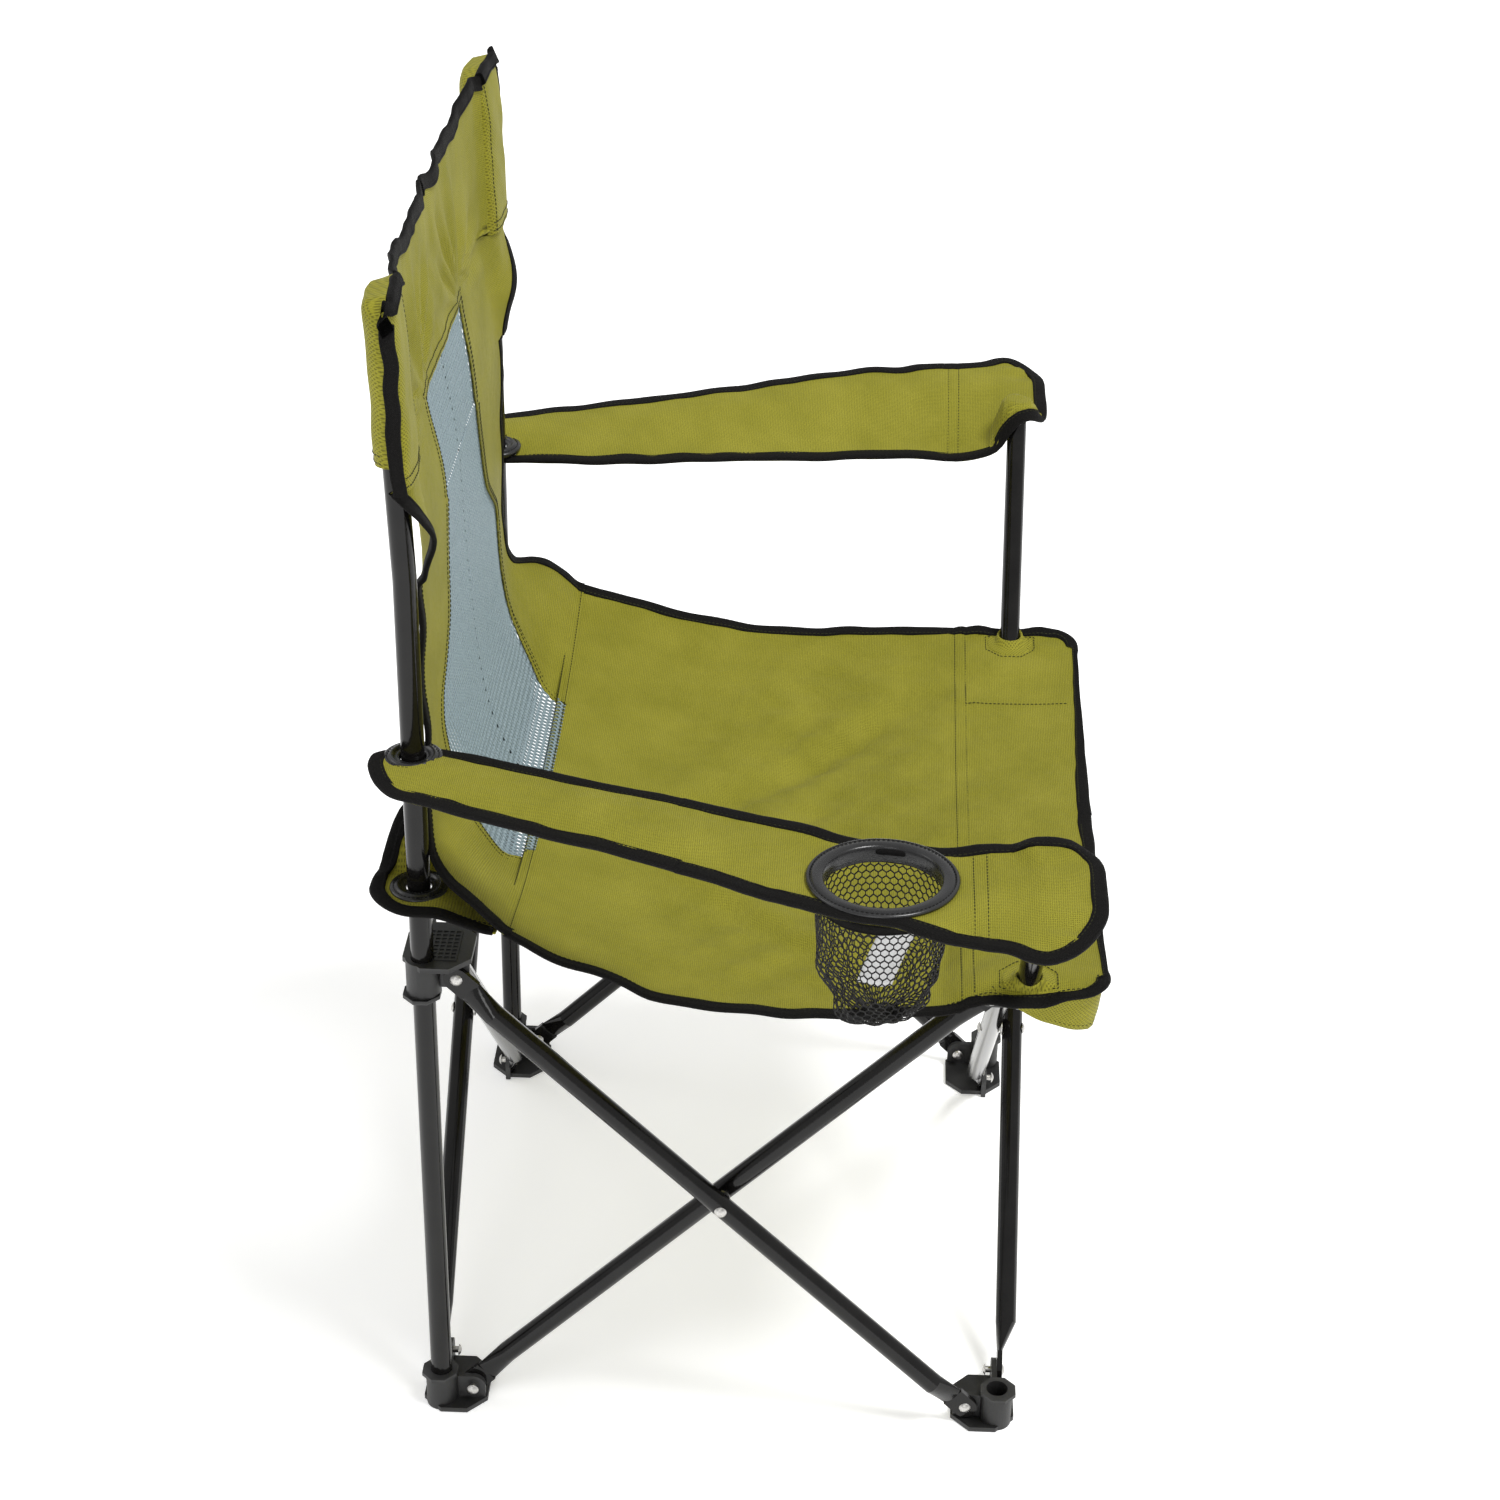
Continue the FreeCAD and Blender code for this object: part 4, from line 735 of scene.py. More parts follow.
# The sheet is drawn by its height on the backrest; low down, that runs forward along the seat's flank.
BY_HEIGHT = (LOW, 445, 455, 465, 475, 485, 500, 520, 560, 600, 690)
edge_y = line_through(BY_HEIGHT, (152, 163, 174, 184, 192, 199, 203, 204, 204, 204, 203))
edge_z = line_through(BY_HEIGHT, (454, 465, 474, 480, 484, 490, 503, 521, 560, 600, 690))
middle_y = line_through((LOW, 445, 460, 487, 528, 560, 605, 690), (152, 164, 174, 187, 195, 198, 201, 203))
middle_z = line_through((LOW, 445, 460, 487, 528), (418, 425, 444, 481, 528))
back_wide = line_through((*BY_HEIGHT, 722, 748, 772, POCKET_FROM, POCKET_FROM + 6, BACK_TOP),
                         (257, 256, 252, 246, 236, 226, 219, 216, 213, 212, 212, 220, 238, 251, 253, 199, 199))
window_wide = line_through((LOW - LAP, LOW, 455, 500, 530, 556, 571, 594, 615, 645, 700, 766),
                           (108, 113, 128, 141, 147, 152, 148, 122, 100, 90, 78, 88))


def back_point(x, z):
    """The middle of the backrest's cloth at x and at that height on it."""
    x, z = np.broadcast_arrays(np.asarray(x, float), np.asarray(z, float))
    wide = np.where(z > POCKET_FROM, POCKET_IN, back_wide(z))
    out = np.abs(x)
    share = np.clip((out - 100) / np.maximum(wide - 100, 1), 0, 1)
    share = share * share * (3 - 2 * share)
    low = z < 690
    y_low = CY + middle_y(z) + (edge_y(z) - middle_y(z)) * share
    z_low = np.where(z < 528, middle_z(z), z)
    z_low = z_low + (edge_z(z) - z_low) * share
    base = CY + 203 + (pole_y(z) - 1 - CY - 203) * step(690, 782, z)
    base = base + (1 - np.clip(out / 200, 0, 1) ** 3) * 7.0 * step(640, 850, z)
    clear = pole_y(z) - 11.6
    around_pole = np.maximum(base - clear, 0) * step(186, 213, out)
    outside = 11.0 * step(234, 254, out) * step(748, 776, z)
    y = np.where(low, y_low, base - around_pole + outside)
    forward = -10.0 * bump(z, 726, 24) * step(0, 45, out - 190)
    fan_angle = np.arctan2(z - WINDOW_TOP, out - 84)
    reach = np.hypot(z - WINDOW_TOP, out - 84)
    upper = step(-5, 22, z - WINDOW_TOP + 0.35 * np.maximum(out - 88, 0))
    fan = 2.2 * np.sin(13 * fan_angle + 2 * np.sin(fan_angle * 3)) * bump(reach, 55, 48) * upper
    wrinkle = 1.5 * waves(x * 1.9, z * 0.5, 61, 62) * step(715, 790, z)
    rumple = 0.9 * waves(x, z, 62, 130) * step(LOW, LOW + 30, z)
    crest = 2.6 * waves(x * 1.0, x * 0, 63, 60) * bump(z, BACK_TOP, 14)
    edge = wide - out
    side_wave = 1.7 * waves(z * 1.0, z * 0 + np.sign(x) * 30, 64, 70) * bump(edge, 0, 20)
    side_wave = side_wave * (1 - step(755, 772, z)) * step(LOW + 4, LOW + 40, z)
    rim = -0.6 * bump(np.abs(out - window_wide(z) - 3.0), 0, 2.5) * (z < WINDOW_TOP + 8)
    calm = 1 - step(POCKET_IN - 22, POCKET_IN - 2, out) * step(POCKET_FROM - 30, POCKET_FROM - 5, z)
    y = y + forward + (fan + wrinkle + crest) * calm + rumple + side_wave + rim
    top_wave = 2.2 * waves(x * 1.0, x * 0, 65, 50) * step(BACK_TOP - 60, BACK_TOP, z)
    corner_rise = 13.0 * step(95, 198, out) * step(BACK_TOP - 75, BACK_TOP, z)
    high = np.where(low, z_low, z) + top_wave + corner_rise
    on_seat = seat_at(x, SEAM_Y - (LOW - z)) + [0, 0, 1.5]
    point = np.stack([x, y, high], -1)
    return np.where((z < LOW)[..., None], on_seat, point)


FRONTWARD = (0, -1, 1)


def back_half(label, side):
    z_side = np.concatenate([[LOW - LAP, LOW - LAP / 2], np.linspace(LOW, WINDOW_TOP, 66),
                             np.linspace(WINDOW_TOP, BACK_TOP, 29)[1:]])
    share = np.linspace(0, 1, 27)
    inner = np.where(z_side <= WINDOW_TOP, window_wide(z_side), window_wide(WINDOW_TOP))
    outer = back_wide(z_side)
    x = inner[:, None] + (outer - inner)[:, None] * share[None, :]
    z = np.broadcast_to(z_side[:, None], x.shape)
    p = back_point(side * x, z)
    n = normals_of(p, FRONTWARD)
    side_part = shell(p, n, np.stack([side * x, z], -1))
    z_top = z_side[67:]
    across = np.linspace(-1, 1, 45)
    xt = across[None, :] * window_wide(WINDOW_TOP) * np.ones((len(z_top), 1))
    zt = np.broadcast_to(z_top[:, None], xt.shape)
    pt = back_point(xt, zt)
    nt = normals_of(pt, FRONTWARD)
    half = slice(22, None) if side > 0 else slice(0, 23)
    top_part = shell(pt[:, half], nt[:, half], np.stack([xt, zt], -1)[:, half])
    cloth = add("backrest_%s_cloth" % label, stack([side_part, top_part]), OLIVE,
                "backrest_cloth_%s" % label)

    last = np.searchsorted(z_side, POCKET_FROM - 1)
    side_edge, side_norm = p[:last, -1], n[:last, -1]
    side_in = p[:last, -6] - side_edge
    side_tape = binding(side_edge, side_norm, side_in, seed=71 + side)
    top_x = np.linspace(0, POCKET_IN, 60) * side
    top_line, top_below = (back_point(top_x, np.full(60, z)) for z in (BACK_TOP, BACK_TOP - 12))
    top_norm = np.tile(unit([0, -1, 0.2]), (60, 1))
    top_tape = binding(top_line, top_norm, top_below - top_line, seed=75 + side, wobble=0.8, wide=1.1)
    edge = add_tape("backrest_%s_binding" % label, stack([side_tape, top_tape]))

    made = []
    for height in (LOW - 0.5, LOW - LAP + 1.5):
        row = back_point(side * np.linspace(1, 250, 90), np.full(90, height))
        made.append(stitches(row + [0, 0, CLOTH], UP))
    for inset in (2.6, 8.2):
        zz = np.linspace(LOW + 4, WINDOW_TOP + inset, 110)
        beside = back_point(side * (window_wide(np.minimum(zz, WINDOW_TOP)) + inset), zz)
        above = back_point(side * np.linspace(0, window_wide(WINDOW_TOP) + inset, 40), np.full(40, WINDOW_TOP + inset))
        made += [stitches(row + [0, -CLOTH - 0.1, 0], AHEAD) for row in (beside, above)]
    made.append(stitches(side_edge + unit(side_in) * TAPE_ROW + side_norm * 1.7, side_norm))
    sewing = add_sewing("backrest_%s_stitching" % label, made)
    for piece in (cloth, edge, sewing):
        with_back(piece, label)


def mesh_point(x, z):
    p = back_point(x, z)
    behind = step(LOW, LOW + 25, z)[..., None]
    return p + behind * [0, 1.8, -0.6] + (1 - behind) * [0, 0.6, 0.3]


def back_mesh(label, side):
    """The open knitted panel: real holes in staggered rows."""
    pitch, rise = 4.6, 4.0
    starts, ends = [], []
    low, high = LOW - LAP, WINDOW_TOP + 6
    rows = int((high - low) / rise)
    gap = 2.0

    def inside(x, z):
        lap = 6 if z > LOW + 8 else 1
        return (np.abs(x) <= window_wide(np.clip(z, LOW - LAP, WINDOW_TOP)) + lap) & (x * side >= -0.01)

    for r in range(rows):
        z0 = low + r * rise
        offset = pitch / 2 if r % 2 else 0.0
        for x in (np.arange(0, 40) * pitch + offset) * side:
            post_low, post_high = (x, z0), (x, z0 + rise - gap)
            left, right = (x - pitch / 2, z0 + rise), (x + pitch / 2, z0 + rise)
            for a, b in ((post_low, post_high), (post_high, left), (post_high, right)):
                if inside(a[0], a[1]) and inside(b[0], b[1]):
                    starts.append(a)
                    ends.append(b)
    starts, ends = np.array(starts), np.array(ends)
    p0, p1 = mesh_point(starts[:, 0], starts[:, 1]), mesh_point(ends[:, 0], ends[:, 1])
    radius = 0.7 + 0.25 * step(LOW + 60, LOW + 15, starts[:, 1:])
    name = "backrest_mesh_%s" % label
    knit = add(name + "_knit", rods(p0, p1, radius), MESH_YARN, name, smooth=False)
    with_back(knit, label)
    z, share = np.meshgrid(np.linspace(LOW - LAP, WINDOW_TOP + 6, 60), np.linspace(0, 1, 12), indexing="ij")
    panel = mesh_point(side * share * window_wide(np.minimum(z, WINDOW_TOP)), z)


def back_pocket(label, side):
    """The sewn pocket over the pole's end, like a pillowcase: two cloths sewn together round three sides."""
    across, up = np.linspace(-1, 1, 37), np.linspace(0, 1, 40)
    u, t = np.meshgrid(across, up)
    x = (POCKET_IN + POCKET_OUT) / 2 + (POCKET_OUT - POCKET_IN) / 2 * u
    top = BACK_TOP + 12 + (POCKET_TOP - BACK_TOP - 12) * step(-1, -0.35, u) - 6 * step(0.55, 1, u)
    sheets, grids, sewn = [], [], []
    for way in (-1, 1):
        low = POCKET_FROM if way < 0 else POCKET_FROM + 11 + 5 * u
        z = low + (top - low) * t
        inner_y = back_point(np.full_like(z, side * (POCKET_IN - 1)), z)[..., 1]
        outer_y = pocket_edge_y(z)
        seam_y = inner_y + (outer_y - inner_y) * (u + 1) / 2
        reach = pole_y(z) + way * 9.4 - (inner_y + outer_y) / 2
        deep = np.maximum(way * reach, 8.0) * np.maximum(1 - np.abs(u) ** 4, 0) ** 0.5
        deep = deep * np.maximum(1 - t ** (5 if way < 0 else 36), 0) ** 0.5
        deep = deep * (1 + 0.06 * waves(z, z * 0 + side * 9, 83, 50)) + 0.15
        crush = 0.6 * waves(x * 1.5 + z, z * 0.8, 81 + side, 45) * np.minimum(deep / 6, 1)
        p = np.stack([side * x, seam_y + way * (deep + np.maximum(crush, -0.4)), z], -1)
        n = normals_of(p, (0, way, 0.0))
        grids.append(p)
        sheets.append(shell(p, n, np.stack([x + way * 100, z], -1), thick=1.2))
        lines = [p[1, 2:-2], p[3, 2:-2]] + ([p[1:-2, 3]] if way < 0 else [])
        sewn += [stitches(line + [0, way * CLOTH, 0], (0, way, 0)) for line in lines]
    name = "back_pocket_%s" % label
    bag = add(name + "_cloth", stack(sheets), OLIVE_BIAS, name)
    crest = np.stack([side * x[-1], seam_y[-1] - 1.5, z[-1] + 0.5], -1)[:-4]
    crest[:, 2] += 1.2 * waves(crest[:, 0], crest[:, 0] * 0, 85 + side, 30)
    knob = crest[-1] + [side * 5.0, 2.0, 4.0]
    tip = np.array([side * (POCKET_OUT + 0.6), outer_y[-1, -1] - 3.6, z[-1, -1] - 7])
    down_z = np.linspace(tip[2], POCKET_FROM - 2, 40)
    down_y = pocket_edge_y(down_z) - 3.6
    down = np.stack([np.full(40, tip[0]), down_y + 0.9 * waves(down_z, down_z * 0, 85 + side, 36), down_z], -1)
    over = np.vstack([crest, knob, (knob + tip) / 2 + [side * 2.0, 2.0, 0], tip - [0, 0, 4]])
    turn = np.concatenate([np.zeros(len(crest) - 2), [0.1, 0.2, 0.5, 0.8, 1.0]])[:, None]
    over_norm = unit((1 - turn) * [side * 0.35, -1.0, 0.5] + turn * [side, -0.2, 0.2])
    over_in = (1 - turn) * [0, -0.5, -1.0] + turn * [0, 0.8, -0.6]
    first = binding(over, over_norm, over_in, seed=87 + side, wobble=0.7, wide=0.9, deep=1.7)
    strip = binding(down, np.tile([side * 1.0, 0, 0], (40, 1)), np.tile([0, 1.0, 0], (40, 1)),
                    seed=89 + side, wobble=0.6, wide=0.9, deep=0.8)
    edge = add_tape(name + "_binding", stack([first, strip]))
    sewing = add_sewing(name + "_stitching", sewn)
    for piece in (bag, edge, sewing):
        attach(piece, "rear_%s_leg" % label)


# ---------------------------------------------------------------- armrests
ARM_REAR = POLE_Y + 27
ARM_NOSE = box_mm("armrest_front_left")[0][1] + 3
ARM_FRONT = {-1: ARM_NOSE, 1: ARM_NOSE + 8}
ARM_CREASE = (box_mm("armrest_front_left")[1][1] + box_mm("armrest_rear_left")[0][1]) / 2


def arm_line(ys, values):
    """A curve along an armrest, whose places are counted from the chair's middle."""
    return line_through([CY + y for y in ys], values)


ARM_INNER = arm_line((-242, -222, -203, -185, -147, -109, -71, -32, 8, 48, 88, 110, 158, 182, 201, 221, 237),
                     (337, 340, 341, 339, 337, 333, 324, 308, 292, 277, 260, 251, 230, 219, 212, 211, 210))
ARM_OUTER = arm_line((-242, -218, -206, -196, -182, -164, -146, -128, -110, -92, -73, -36, 2, 41, 81, 121, 171, 192,
                      209, 225, 237), (440, 451, 454, 452, 443, 440, 439, 436, 428, 425, 419, 400, 378, 357, 336, 318,
                                       296, 283, 274, 265, 258))
ARM_ROUND_FRONT, ARM_ROUND_REAR = 32.0, 24.0
ARM_SEAM_BEHIND = 72.0
RIM_TILT = math.radians(2.5)
RIM_Z = CUP_TOP - 1.4

# the heights of each armrest's inner and outer edge, from its nose back to its rear end
ARM_EDGE_Z = {
    -1: (arm_line((-241, -213, -203, -194, -178, -147, -84, -13, 47, 110, 171, 220),
                  (588, 591.5, 591, 588, 586, 586, 584, 580, 578, 574, 569, 567)),
         arm_line((-241, -218, -200, -176, -152, -116, -85, -29, 60, 136, 200, 231),
                  (584, 580, 578, 578, 580, 582, 582, 580, 576, 571, 567.5, 566))),
    1: (arm_line((-234, -221, -200, -185, -164, -97, -64, -31, 2, 34, 65, 97, 127, 158, 188, 225),
                 (575, 570, 561, 553, 549, 550, 552, 557, 562, 565, 568.5, 572, 576, 581, 585, 587)),
        arm_line((-234, -215, -198, -163, -129, -61, 6, 71, 135, 166, 197, 231),
                 (579, 582, 585, 585, 582.5, 584, 587, 589.5, 590.5, 592, 595, 596))),
}
FAR_RISE = 22.0     # the left armrest has slid up its pole by this much


def arm_sides(side, y):
    """How far out the inner and the outer edge of an armrest are."""
    return ARM_INNER(y) - (12 if side > 0 else 0) * step(CY + 215, CY + 120, y), ARM_OUTER(y)


def arm_point(side, x, y):
    """The middle of an armrest's upper cloth: x outwards from the chair's middle."""
    inner, outer = arm_sides(side, y)
    share = np.clip((x - inner) / (outer - inner), 0, 1)
    inner_z, outer_z = (line(y) for line in ARM_EDGE_Z[side])
    crown = 3.2 * step(0, 0.4, share) * step(0, 0.4, 1 - share) * (1 - 0.6 * bump(y, CUP_Y, 60))
    z = inner_z + (outer_z - inner_z) * share * share * (3 - 2 * share) + crown - 1.0
    post = np.hypot(x - POST_TOP_X, y - POST_TOP_Y)
    z = z + np.maximum(POST_TOP + 2.6 - z, 0) * step(24, 10, post)
    z = z + 0.8 * waves(x, y, 91 + side, 80)
    front = ARM_FRONT[side]
    seam_y = front + ARM_SEAM_BEHIND
    z = z - 0.6 * (bump(y, seam_y, 2.5) + bump(y, seam_y + SEAM_PITCH, 2.5))
    inset = corner_inset(y - front, ARM_ROUND_FRONT) + corner_inset(ARM_REAR - y, ARM_ROUND_REAR)
    edge = np.minimum(np.minimum(x - inner - inset, outer - inset - x), np.minimum(y - front, ARM_REAR - y))
    pleat = 2.4 * np.sin((x + y * 0.3) / 4.2) * bump(y, front + 22, 16) * step(outer - 50, outer - 18, x)
    pleat = pleat * step(6, 15, edge)
    ripple = 1.0 * waves(y * 1.0, y * 0 + side * 9, 95, 70) * bump(edge, 0, 14)
    z = z + pleat + ripple
    if side < 0:
        near_ring = step(76, 54, np.hypot(x - abs(CUP_X), y - CUP_Y))
        level = RIM_Z - 1.0 + math.sin(RIM_TILT) * (x - abs(CUP_X))
        z = z + (level - z) * near_ring
    return np.stack([side * x + 0 * y, y + 0 * x, z], -1)


def arm_grid(side):
    nose = ARM_FRONT[side]
    front = nose + ARM_ROUND_FRONT * (1 - np.cos(np.linspace(0, math.pi / 2, 9)))
    rear = ARM_REAR - ARM_ROUND_REAR * (1 - np.cos(np.linspace(0, math.pi / 2, 9)))[::-1]
    middle = np.arange(front[-1] + 4.6, rear[0] - 2, 4.6)
    middle = middle[np.abs(middle - ARM_CREASE) > 2.4]
    ys = np.sort(np.concatenate([front, middle, rear, [ARM_CREASE]]))
    inset = corner_inset(ys - nose, ARM_ROUND_FRONT) + corner_inset(ARM_REAR - ys, ARM_ROUND_REAR)
    inner, outer = arm_sides(side, ys)
    x0, x1 = inner + inset, outer - inset
    share = np.linspace(0, 1, 31)
    x = x0[:, None] + (x1 - x0)[:, None] * share[None, :]
    y = np.broadcast_to(ys[:, None], x.shape)
    p = arm_point(side, x, y)
    slope_x = (arm_point(side, x + 1, y) - arm_point(side, x - 1, y))[..., 2] / 2
    slope_y = (arm_point(side, x, y + 1) - arm_point(side, x, y - 1))[..., 2] / 2
    return ys, p, unit(np.stack([-side * slope_x, -slope_y, np.ones_like(x)], -1))


def arm_half(label, side, end):
    ys, p, n = arm_grid(side)
    crease = int(np.argmin(np.abs(ys - ARM_CREASE)))
    pick = slice(0, crease + 1) if end == "front" else slice(crease, None)
    q, m = p[pick], n[pick]
    uv = np.stack([q[..., 0], q[..., 1]], -1)
    mid = cells(q)
    keep = np.hypot(np.abs(mid[..., 0]) - POLE_X, mid[..., 1] - POLE_Y) > HOLE["arm"]
    if side < 0:
        keep &= np.hypot(mid[..., 0] - CUP_X, mid[..., 1] - CUP_Y) > HOLE["cup"]
    share = np.linspace(0, 1, q.shape[1])
    puff = 3.0 * (np.sin(np.pi * share) ** 0.6)[None, :] * np.ones((q.shape[0], 1))
    top = used_only(shell(q, m, uv, keep))
    lower = q - m * 2.2 - np.array([0, 0, 1.0]) * puff[..., None]
    under = used_only(shell(lower, m, uv, keep))
    name = "armrest_%s_%s" % (label, end)
    cloth = add(name + "_cloth", stack([top, under]), OLIVE, "armrest_%s_%s" % (end, label))
    way = 1 if end == "front" else -1
    loop, norm = (np.concatenate([g[::-1, 0], g[0, 1:], g[1:, -1]]) for g in (q[::way], m[::way]))
    ahead = unit(np.gradient(loop, axis=0))
    into = np.cross(norm, ahead)
    middle = q.reshape(-1, 3).mean(0)
    if np.sum(into * (middle - loop)) < 0:
        into = -into
    drop = loop - norm * 0.4
    seed = 101 + side + (5 if end == "front" else 0)
    edge = add_tape(name + "_binding", binding(drop, norm, into, seed=seed, wobble=0.35, deep=1.25))
    made = [stitches(drop + unit(into) * TAPE_ROW + norm * 1.6, norm)]
    if end == "front":
        for behind in (ARM_SEAM_BEHIND, ARM_SEAM_BEHIND + SEAM_PITCH):
            y = ARM_FRONT[side] + behind
            inner, outer = arm_sides(side, y)
            row = arm_point(side, np.linspace(inner + 9, outer - 9, 60), np.full(60, y))
            made.append(stitches(row + [0, 0, CLOTH], UP))
    sewing = add_sewing(name + "_stitching", made)
    for piece in (cloth, edge, sewing):
        with_arm(piece, label, end)


# ---------------------------------------------------------------- plastic rings
def circle(centre, radius, count):
    angle = np.linspace(0, 2 * math.pi, count, endpoint=False)
    return np.stack([radius * np.cos(angle), radius * np.sin(angle), 0 * angle], 1) + centre


def grommet(name, x, y, z, body):
    profile = ((8.7, 0.6), (9.3, 1.6), (10.6, 1.9), (12.2, 1.7), (12.9, 2.4), (13.8, 3.3), (15.0, 3.5), (15.9, 3.0),
               (16.5, 2.4), (18.6, 2.1), (19.8, 1.5), (20.2, 0.7), (19.6, -0.4), (19.6, -1.6), (18.6, -2.3),
               (12.0, -2.4), (9.4, -2.2), (8.7, -1.4))
    ring = add(name + "_ring", lathe(profile, (x, y, z), 72), RING_PLASTIC, name)
    row = stitches(circle((x, y, z + 2.35), 17.6, 60), UP, closed=True, gap=3.0, long=2.0, radius=0.28)
    for piece in (ring, add_sewing(name + "_stitching", [row], THREAD_BLACK)):
        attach(piece, body)


def cup_ring():
    inside, outside = 37.3, 48.2
    profile = ((inside, -8.6), (inside, 1.5), (37.9, 2.3), (38.8, 2.8), (42.0, 3.0), (44.6, 2.9), (45.0, 2.45),
               (45.8, 2.45), (46.2, 2.85), (47.2, 2.6), (outside, 1.6), (47.8, 0.3), (41.2, -0.1), (40.6, -1.0),
               (40.4, -8.6), (39.2, -9.0))
    ring = lathe(profile, (CUP_X, CUP_Y, RIM_Z), 144, RIM_TILT)
    flange = add("cup_ring_flange", ring, RING_PLASTIC, "cup_ring")
    loop = circle((CUP_X, CUP_Y, RIM_Z + 2.75), 45.6, 180)
    loop[:, 2] -= math.sin(RIM_TILT) * (loop[:, 0] - CUP_X)
    row = stitches(loop, UP, closed=True, gap=3.1, long=2.2, radius=0.3)
    for piece in (flange, add_sewing("cup_ring_stitching", [row], THREAD_BLACK)):
        with_arm(piece, "right", "front")


DOWN_BAG = (0, 12, 30, 52, 70, 86, 100, 112)
bag_radius = line_through(DOWN_BAG, (41.5, 41.5, 40.5, 38, 34, 26, 13, 1.5))
bag_depth = line_through(DOWN_BAG, (0, 12, 30, 52, 70, 84, 92, 94))
NET_TOP = CUP_TOP - 9.0


def net_point(angle, s):
    """A point of the bag: angle round it and s down its side."""
    r, d = bag_radius(s), bag_depth(s)
    crumple = step(25, 75, s)
    r = r * (1 + 0.09 * crumple * np.sin(5 * angle + s / 9) + 0.05 * crumple * np.sin(11 * angle - s / 7))
    d = d + 3.0 * crumple * np.sin(3 * angle + s / 13) * (1 - step(90, DOWN_BAG[-1], s))
    a = angle + 0.08 * crumple * np.sin(4 * angle + s / 11)
    return np.stack([CUP_X + r * np.cos(a), CUP_Y + r * np.sin(a), NET_TOP - d], -1)


def cup_net():
    """The knotted net: open cells like a honeycomb, gathered at the bottom."""
    around, rise = 50, 4.5
    rows = int(DOWN_BAG[-1] / rise)
    starts, ends = [], []
    for r in range(rows):
        s0 = r * rise
        shift = 0.5 if r % 2 else 0.0
        for k in range(around):
            a = (k + shift) / around * 2 * math.pi
            half = math.pi / around
            post = (a, s0), (a, s0 + rise * 0.55)
            starts += [post[0], post[1], post[1]]
            ends += [post[1], (a - half, s0 + rise), (a + half, s0 + rise)]
    starts, ends = np.array(starts), np.array(ends)
    p0, p1 = net_point(starts[:, 0], starts[:, 1]), net_point(ends[:, 0], ends[:, 1])
    net = add("cup_net_bag", rods(p0, p1, 0.5), NET_YARN, "cup_net", smooth=False)
    middle = (CUP_X, CUP_Y, NET_TOP + 1)
    rim = circle(middle, 41.6, 96)
    tape = binding(rim, unit(rim - middle), np.tile([0, 0, -1.0], (96, 1)), closed=True, seed=120, wide=0.7, wobble=0.2)
    hem = add_tape("cup_net_hem", tape)
    s, t = np.meshgrid(np.linspace(0, 1, 8), np.linspace(0, 1, 14))
    base = np.array([CUP_X - 32, CUP_Y - 12, NET_TOP - 6])
    x = base[0] + 3.5 * np.sin(t * 3) + 4 * t
    y = base[1] + 22 * (s - 0.5) + 15 * t
    z = base[2] - 46 * t - 1.5 * np.sin(s * 5)
    p = np.stack([x, y, z], -1)
    n = normals_of(p, (-1, 0, 0))
    tag = add("cup_net_tag", shell(p, n, np.stack([y, z], -1), thick=0.5)[:3], TAG_CLOTH)
    for piece in (net, hem, tag):
        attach(piece, "armrest_right_front_half")
        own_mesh(piece)
    turns, s = np.meshgrid(np.linspace(0, 2 * math.pi, 60), np.linspace(0, DOWN_BAG[-1], 30))
    net_point(turns, s)


# ---------------------------------------------------------------- build
for label, side in SIDES:
    seat_half(label, side)
    seat_ear(label, side)
    corner_flap(label, side)
    post_patch(label, side)
    back_half(label, side)
    back_mesh(label, side)
    back_pocket(label, side)
    for end in ("front", "rear"):
        arm_half(label, side, end)
    grommet("seat_grommet_rear_%s" % label, side * POLE_X, POLE_Y, EAR_Z, "rear_%s_hub" % label)
    arm_grommet_z = ARM_GROMMET_Z + (FAR_RISE if side > 0 else 0)
    grommet("arm_grommet_%s" % label, side * POLE_X, POLE_Y, arm_grommet_z, "rear_%s_hub" % label)
cup_ring()
cup_net()

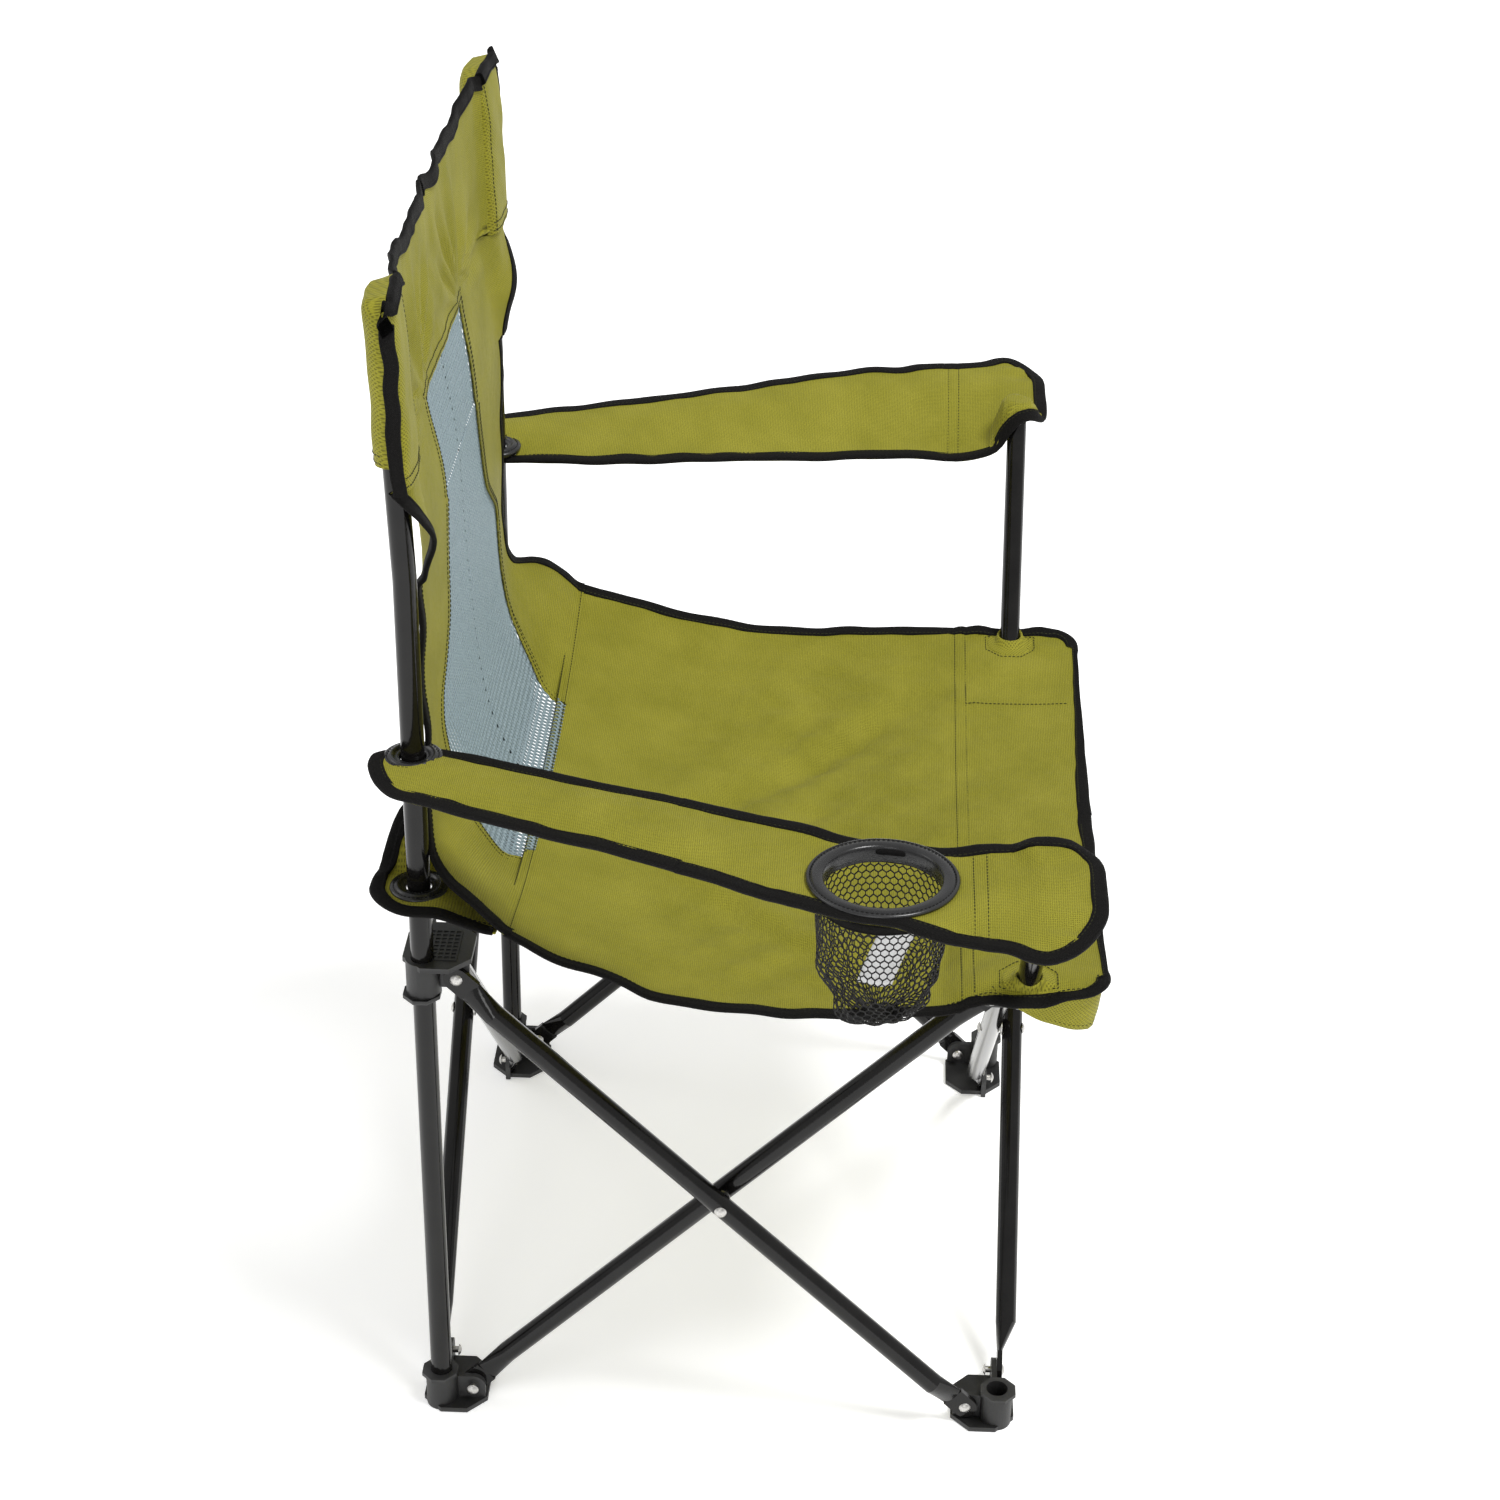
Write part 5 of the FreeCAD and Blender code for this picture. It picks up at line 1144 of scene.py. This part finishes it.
# ---------------------------------------------------------------- the frame's own pieces keep their shape
FINISH = {"strut": TUBE_BLACK, "back_pole": TUBE_BLACK, "arm_post": TUBE_BLACK, "foot_rivets": ZINC,
          "hub_rivets": ZINC, "crossing_rivet": ZINC, "foot": HUB_PLASTIC, "slider_hub": HUB_PLASTIC,
          "fork_hub": HUB_PLASTIC, "pole_cap": CAP_PLASTIC, "post_cap": CAP_PLASTIC}
for name, node_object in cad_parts.items():
    kind = max((k for k in FINISH if name.startswith(k)), key=len, default=None)
    if kind is None:
        continue
    slots = node_object.material_slots
    if not slots:
        node_object.data.materials.append(FINISH[kind])
    for spot in slots:
        spot.material = FINISH[kind]

# ---------------------------------------------------------------- floor, light and camera
white = Finish("studio_white")
white.shade(Base_Color=(0.93, 0.93, 0.93, 1), Roughness=0.9, Emission_Color=(1, 1, 1, 1), Emission_Strength=0.36)
bpy.ops.mesh.primitive_plane_add(size=60, location=(0, 0, -0.0005))
floor = bpy.context.object
floor.name = "studio_floor"
floor.data.materials.append(white.made)

world = bpy.data.worlds.new("studio")
bpy.context.scene.world = world
world.use_nodes = True
sky = world.node_tree.nodes["Background"]
sky.inputs["Color"].default_value = (1, 1, 1, 1)
sky.inputs["Strength"].default_value = 0.6


def lamp(name, spot, strength, angle):
    """A broad, even light from that direction."""
    light = bpy.data.lights.new(name, "SUN")
    light.energy = strength
    light.angle = math.radians(angle)
    holder = bpy.data.objects.new(name, light)
    bpy.context.scene.collection.objects.link(holder)
    holder.location = spot
    holder.rotation_euler = (-Vector(spot)).to_track_quat("-Z", "Y").to_euler()


lamp("key", (-0.7, -1.4, 3.3), 2.3, 18)
lamp("rim", (0.6, 2.2, 1.6), 0.35, 30)
lamp("side", (-2.6, 0.6, 1.1), 0.3, 16)

camera = bpy.data.cameras.new("camera")
eye = bpy.data.objects.new("camera", camera)
bpy.context.scene.collection.objects.link(eye)
bpy.context.scene.camera = eye
camera.sensor_width = 36
camera.lens = 71.1
camera.shift_x, camera.shift_y = -0.065, -0.0437
camera.clip_end = 100
eye.location = (-1.923, -0.0836 + CY * MM, 1.5829)
right, up = (0.02034, -0.99932, 0.03086), (0.487, 0.03686, 0.87262)
back = (-0.87316, -0.00271, 0.48742)
eye.rotation_mode = "QUATERNION"
eye.rotation_quaternion = Matrix((right, up, back)).transposed().to_quaternion()
bpy.context.scene.view_settings.view_transform = "Standard"
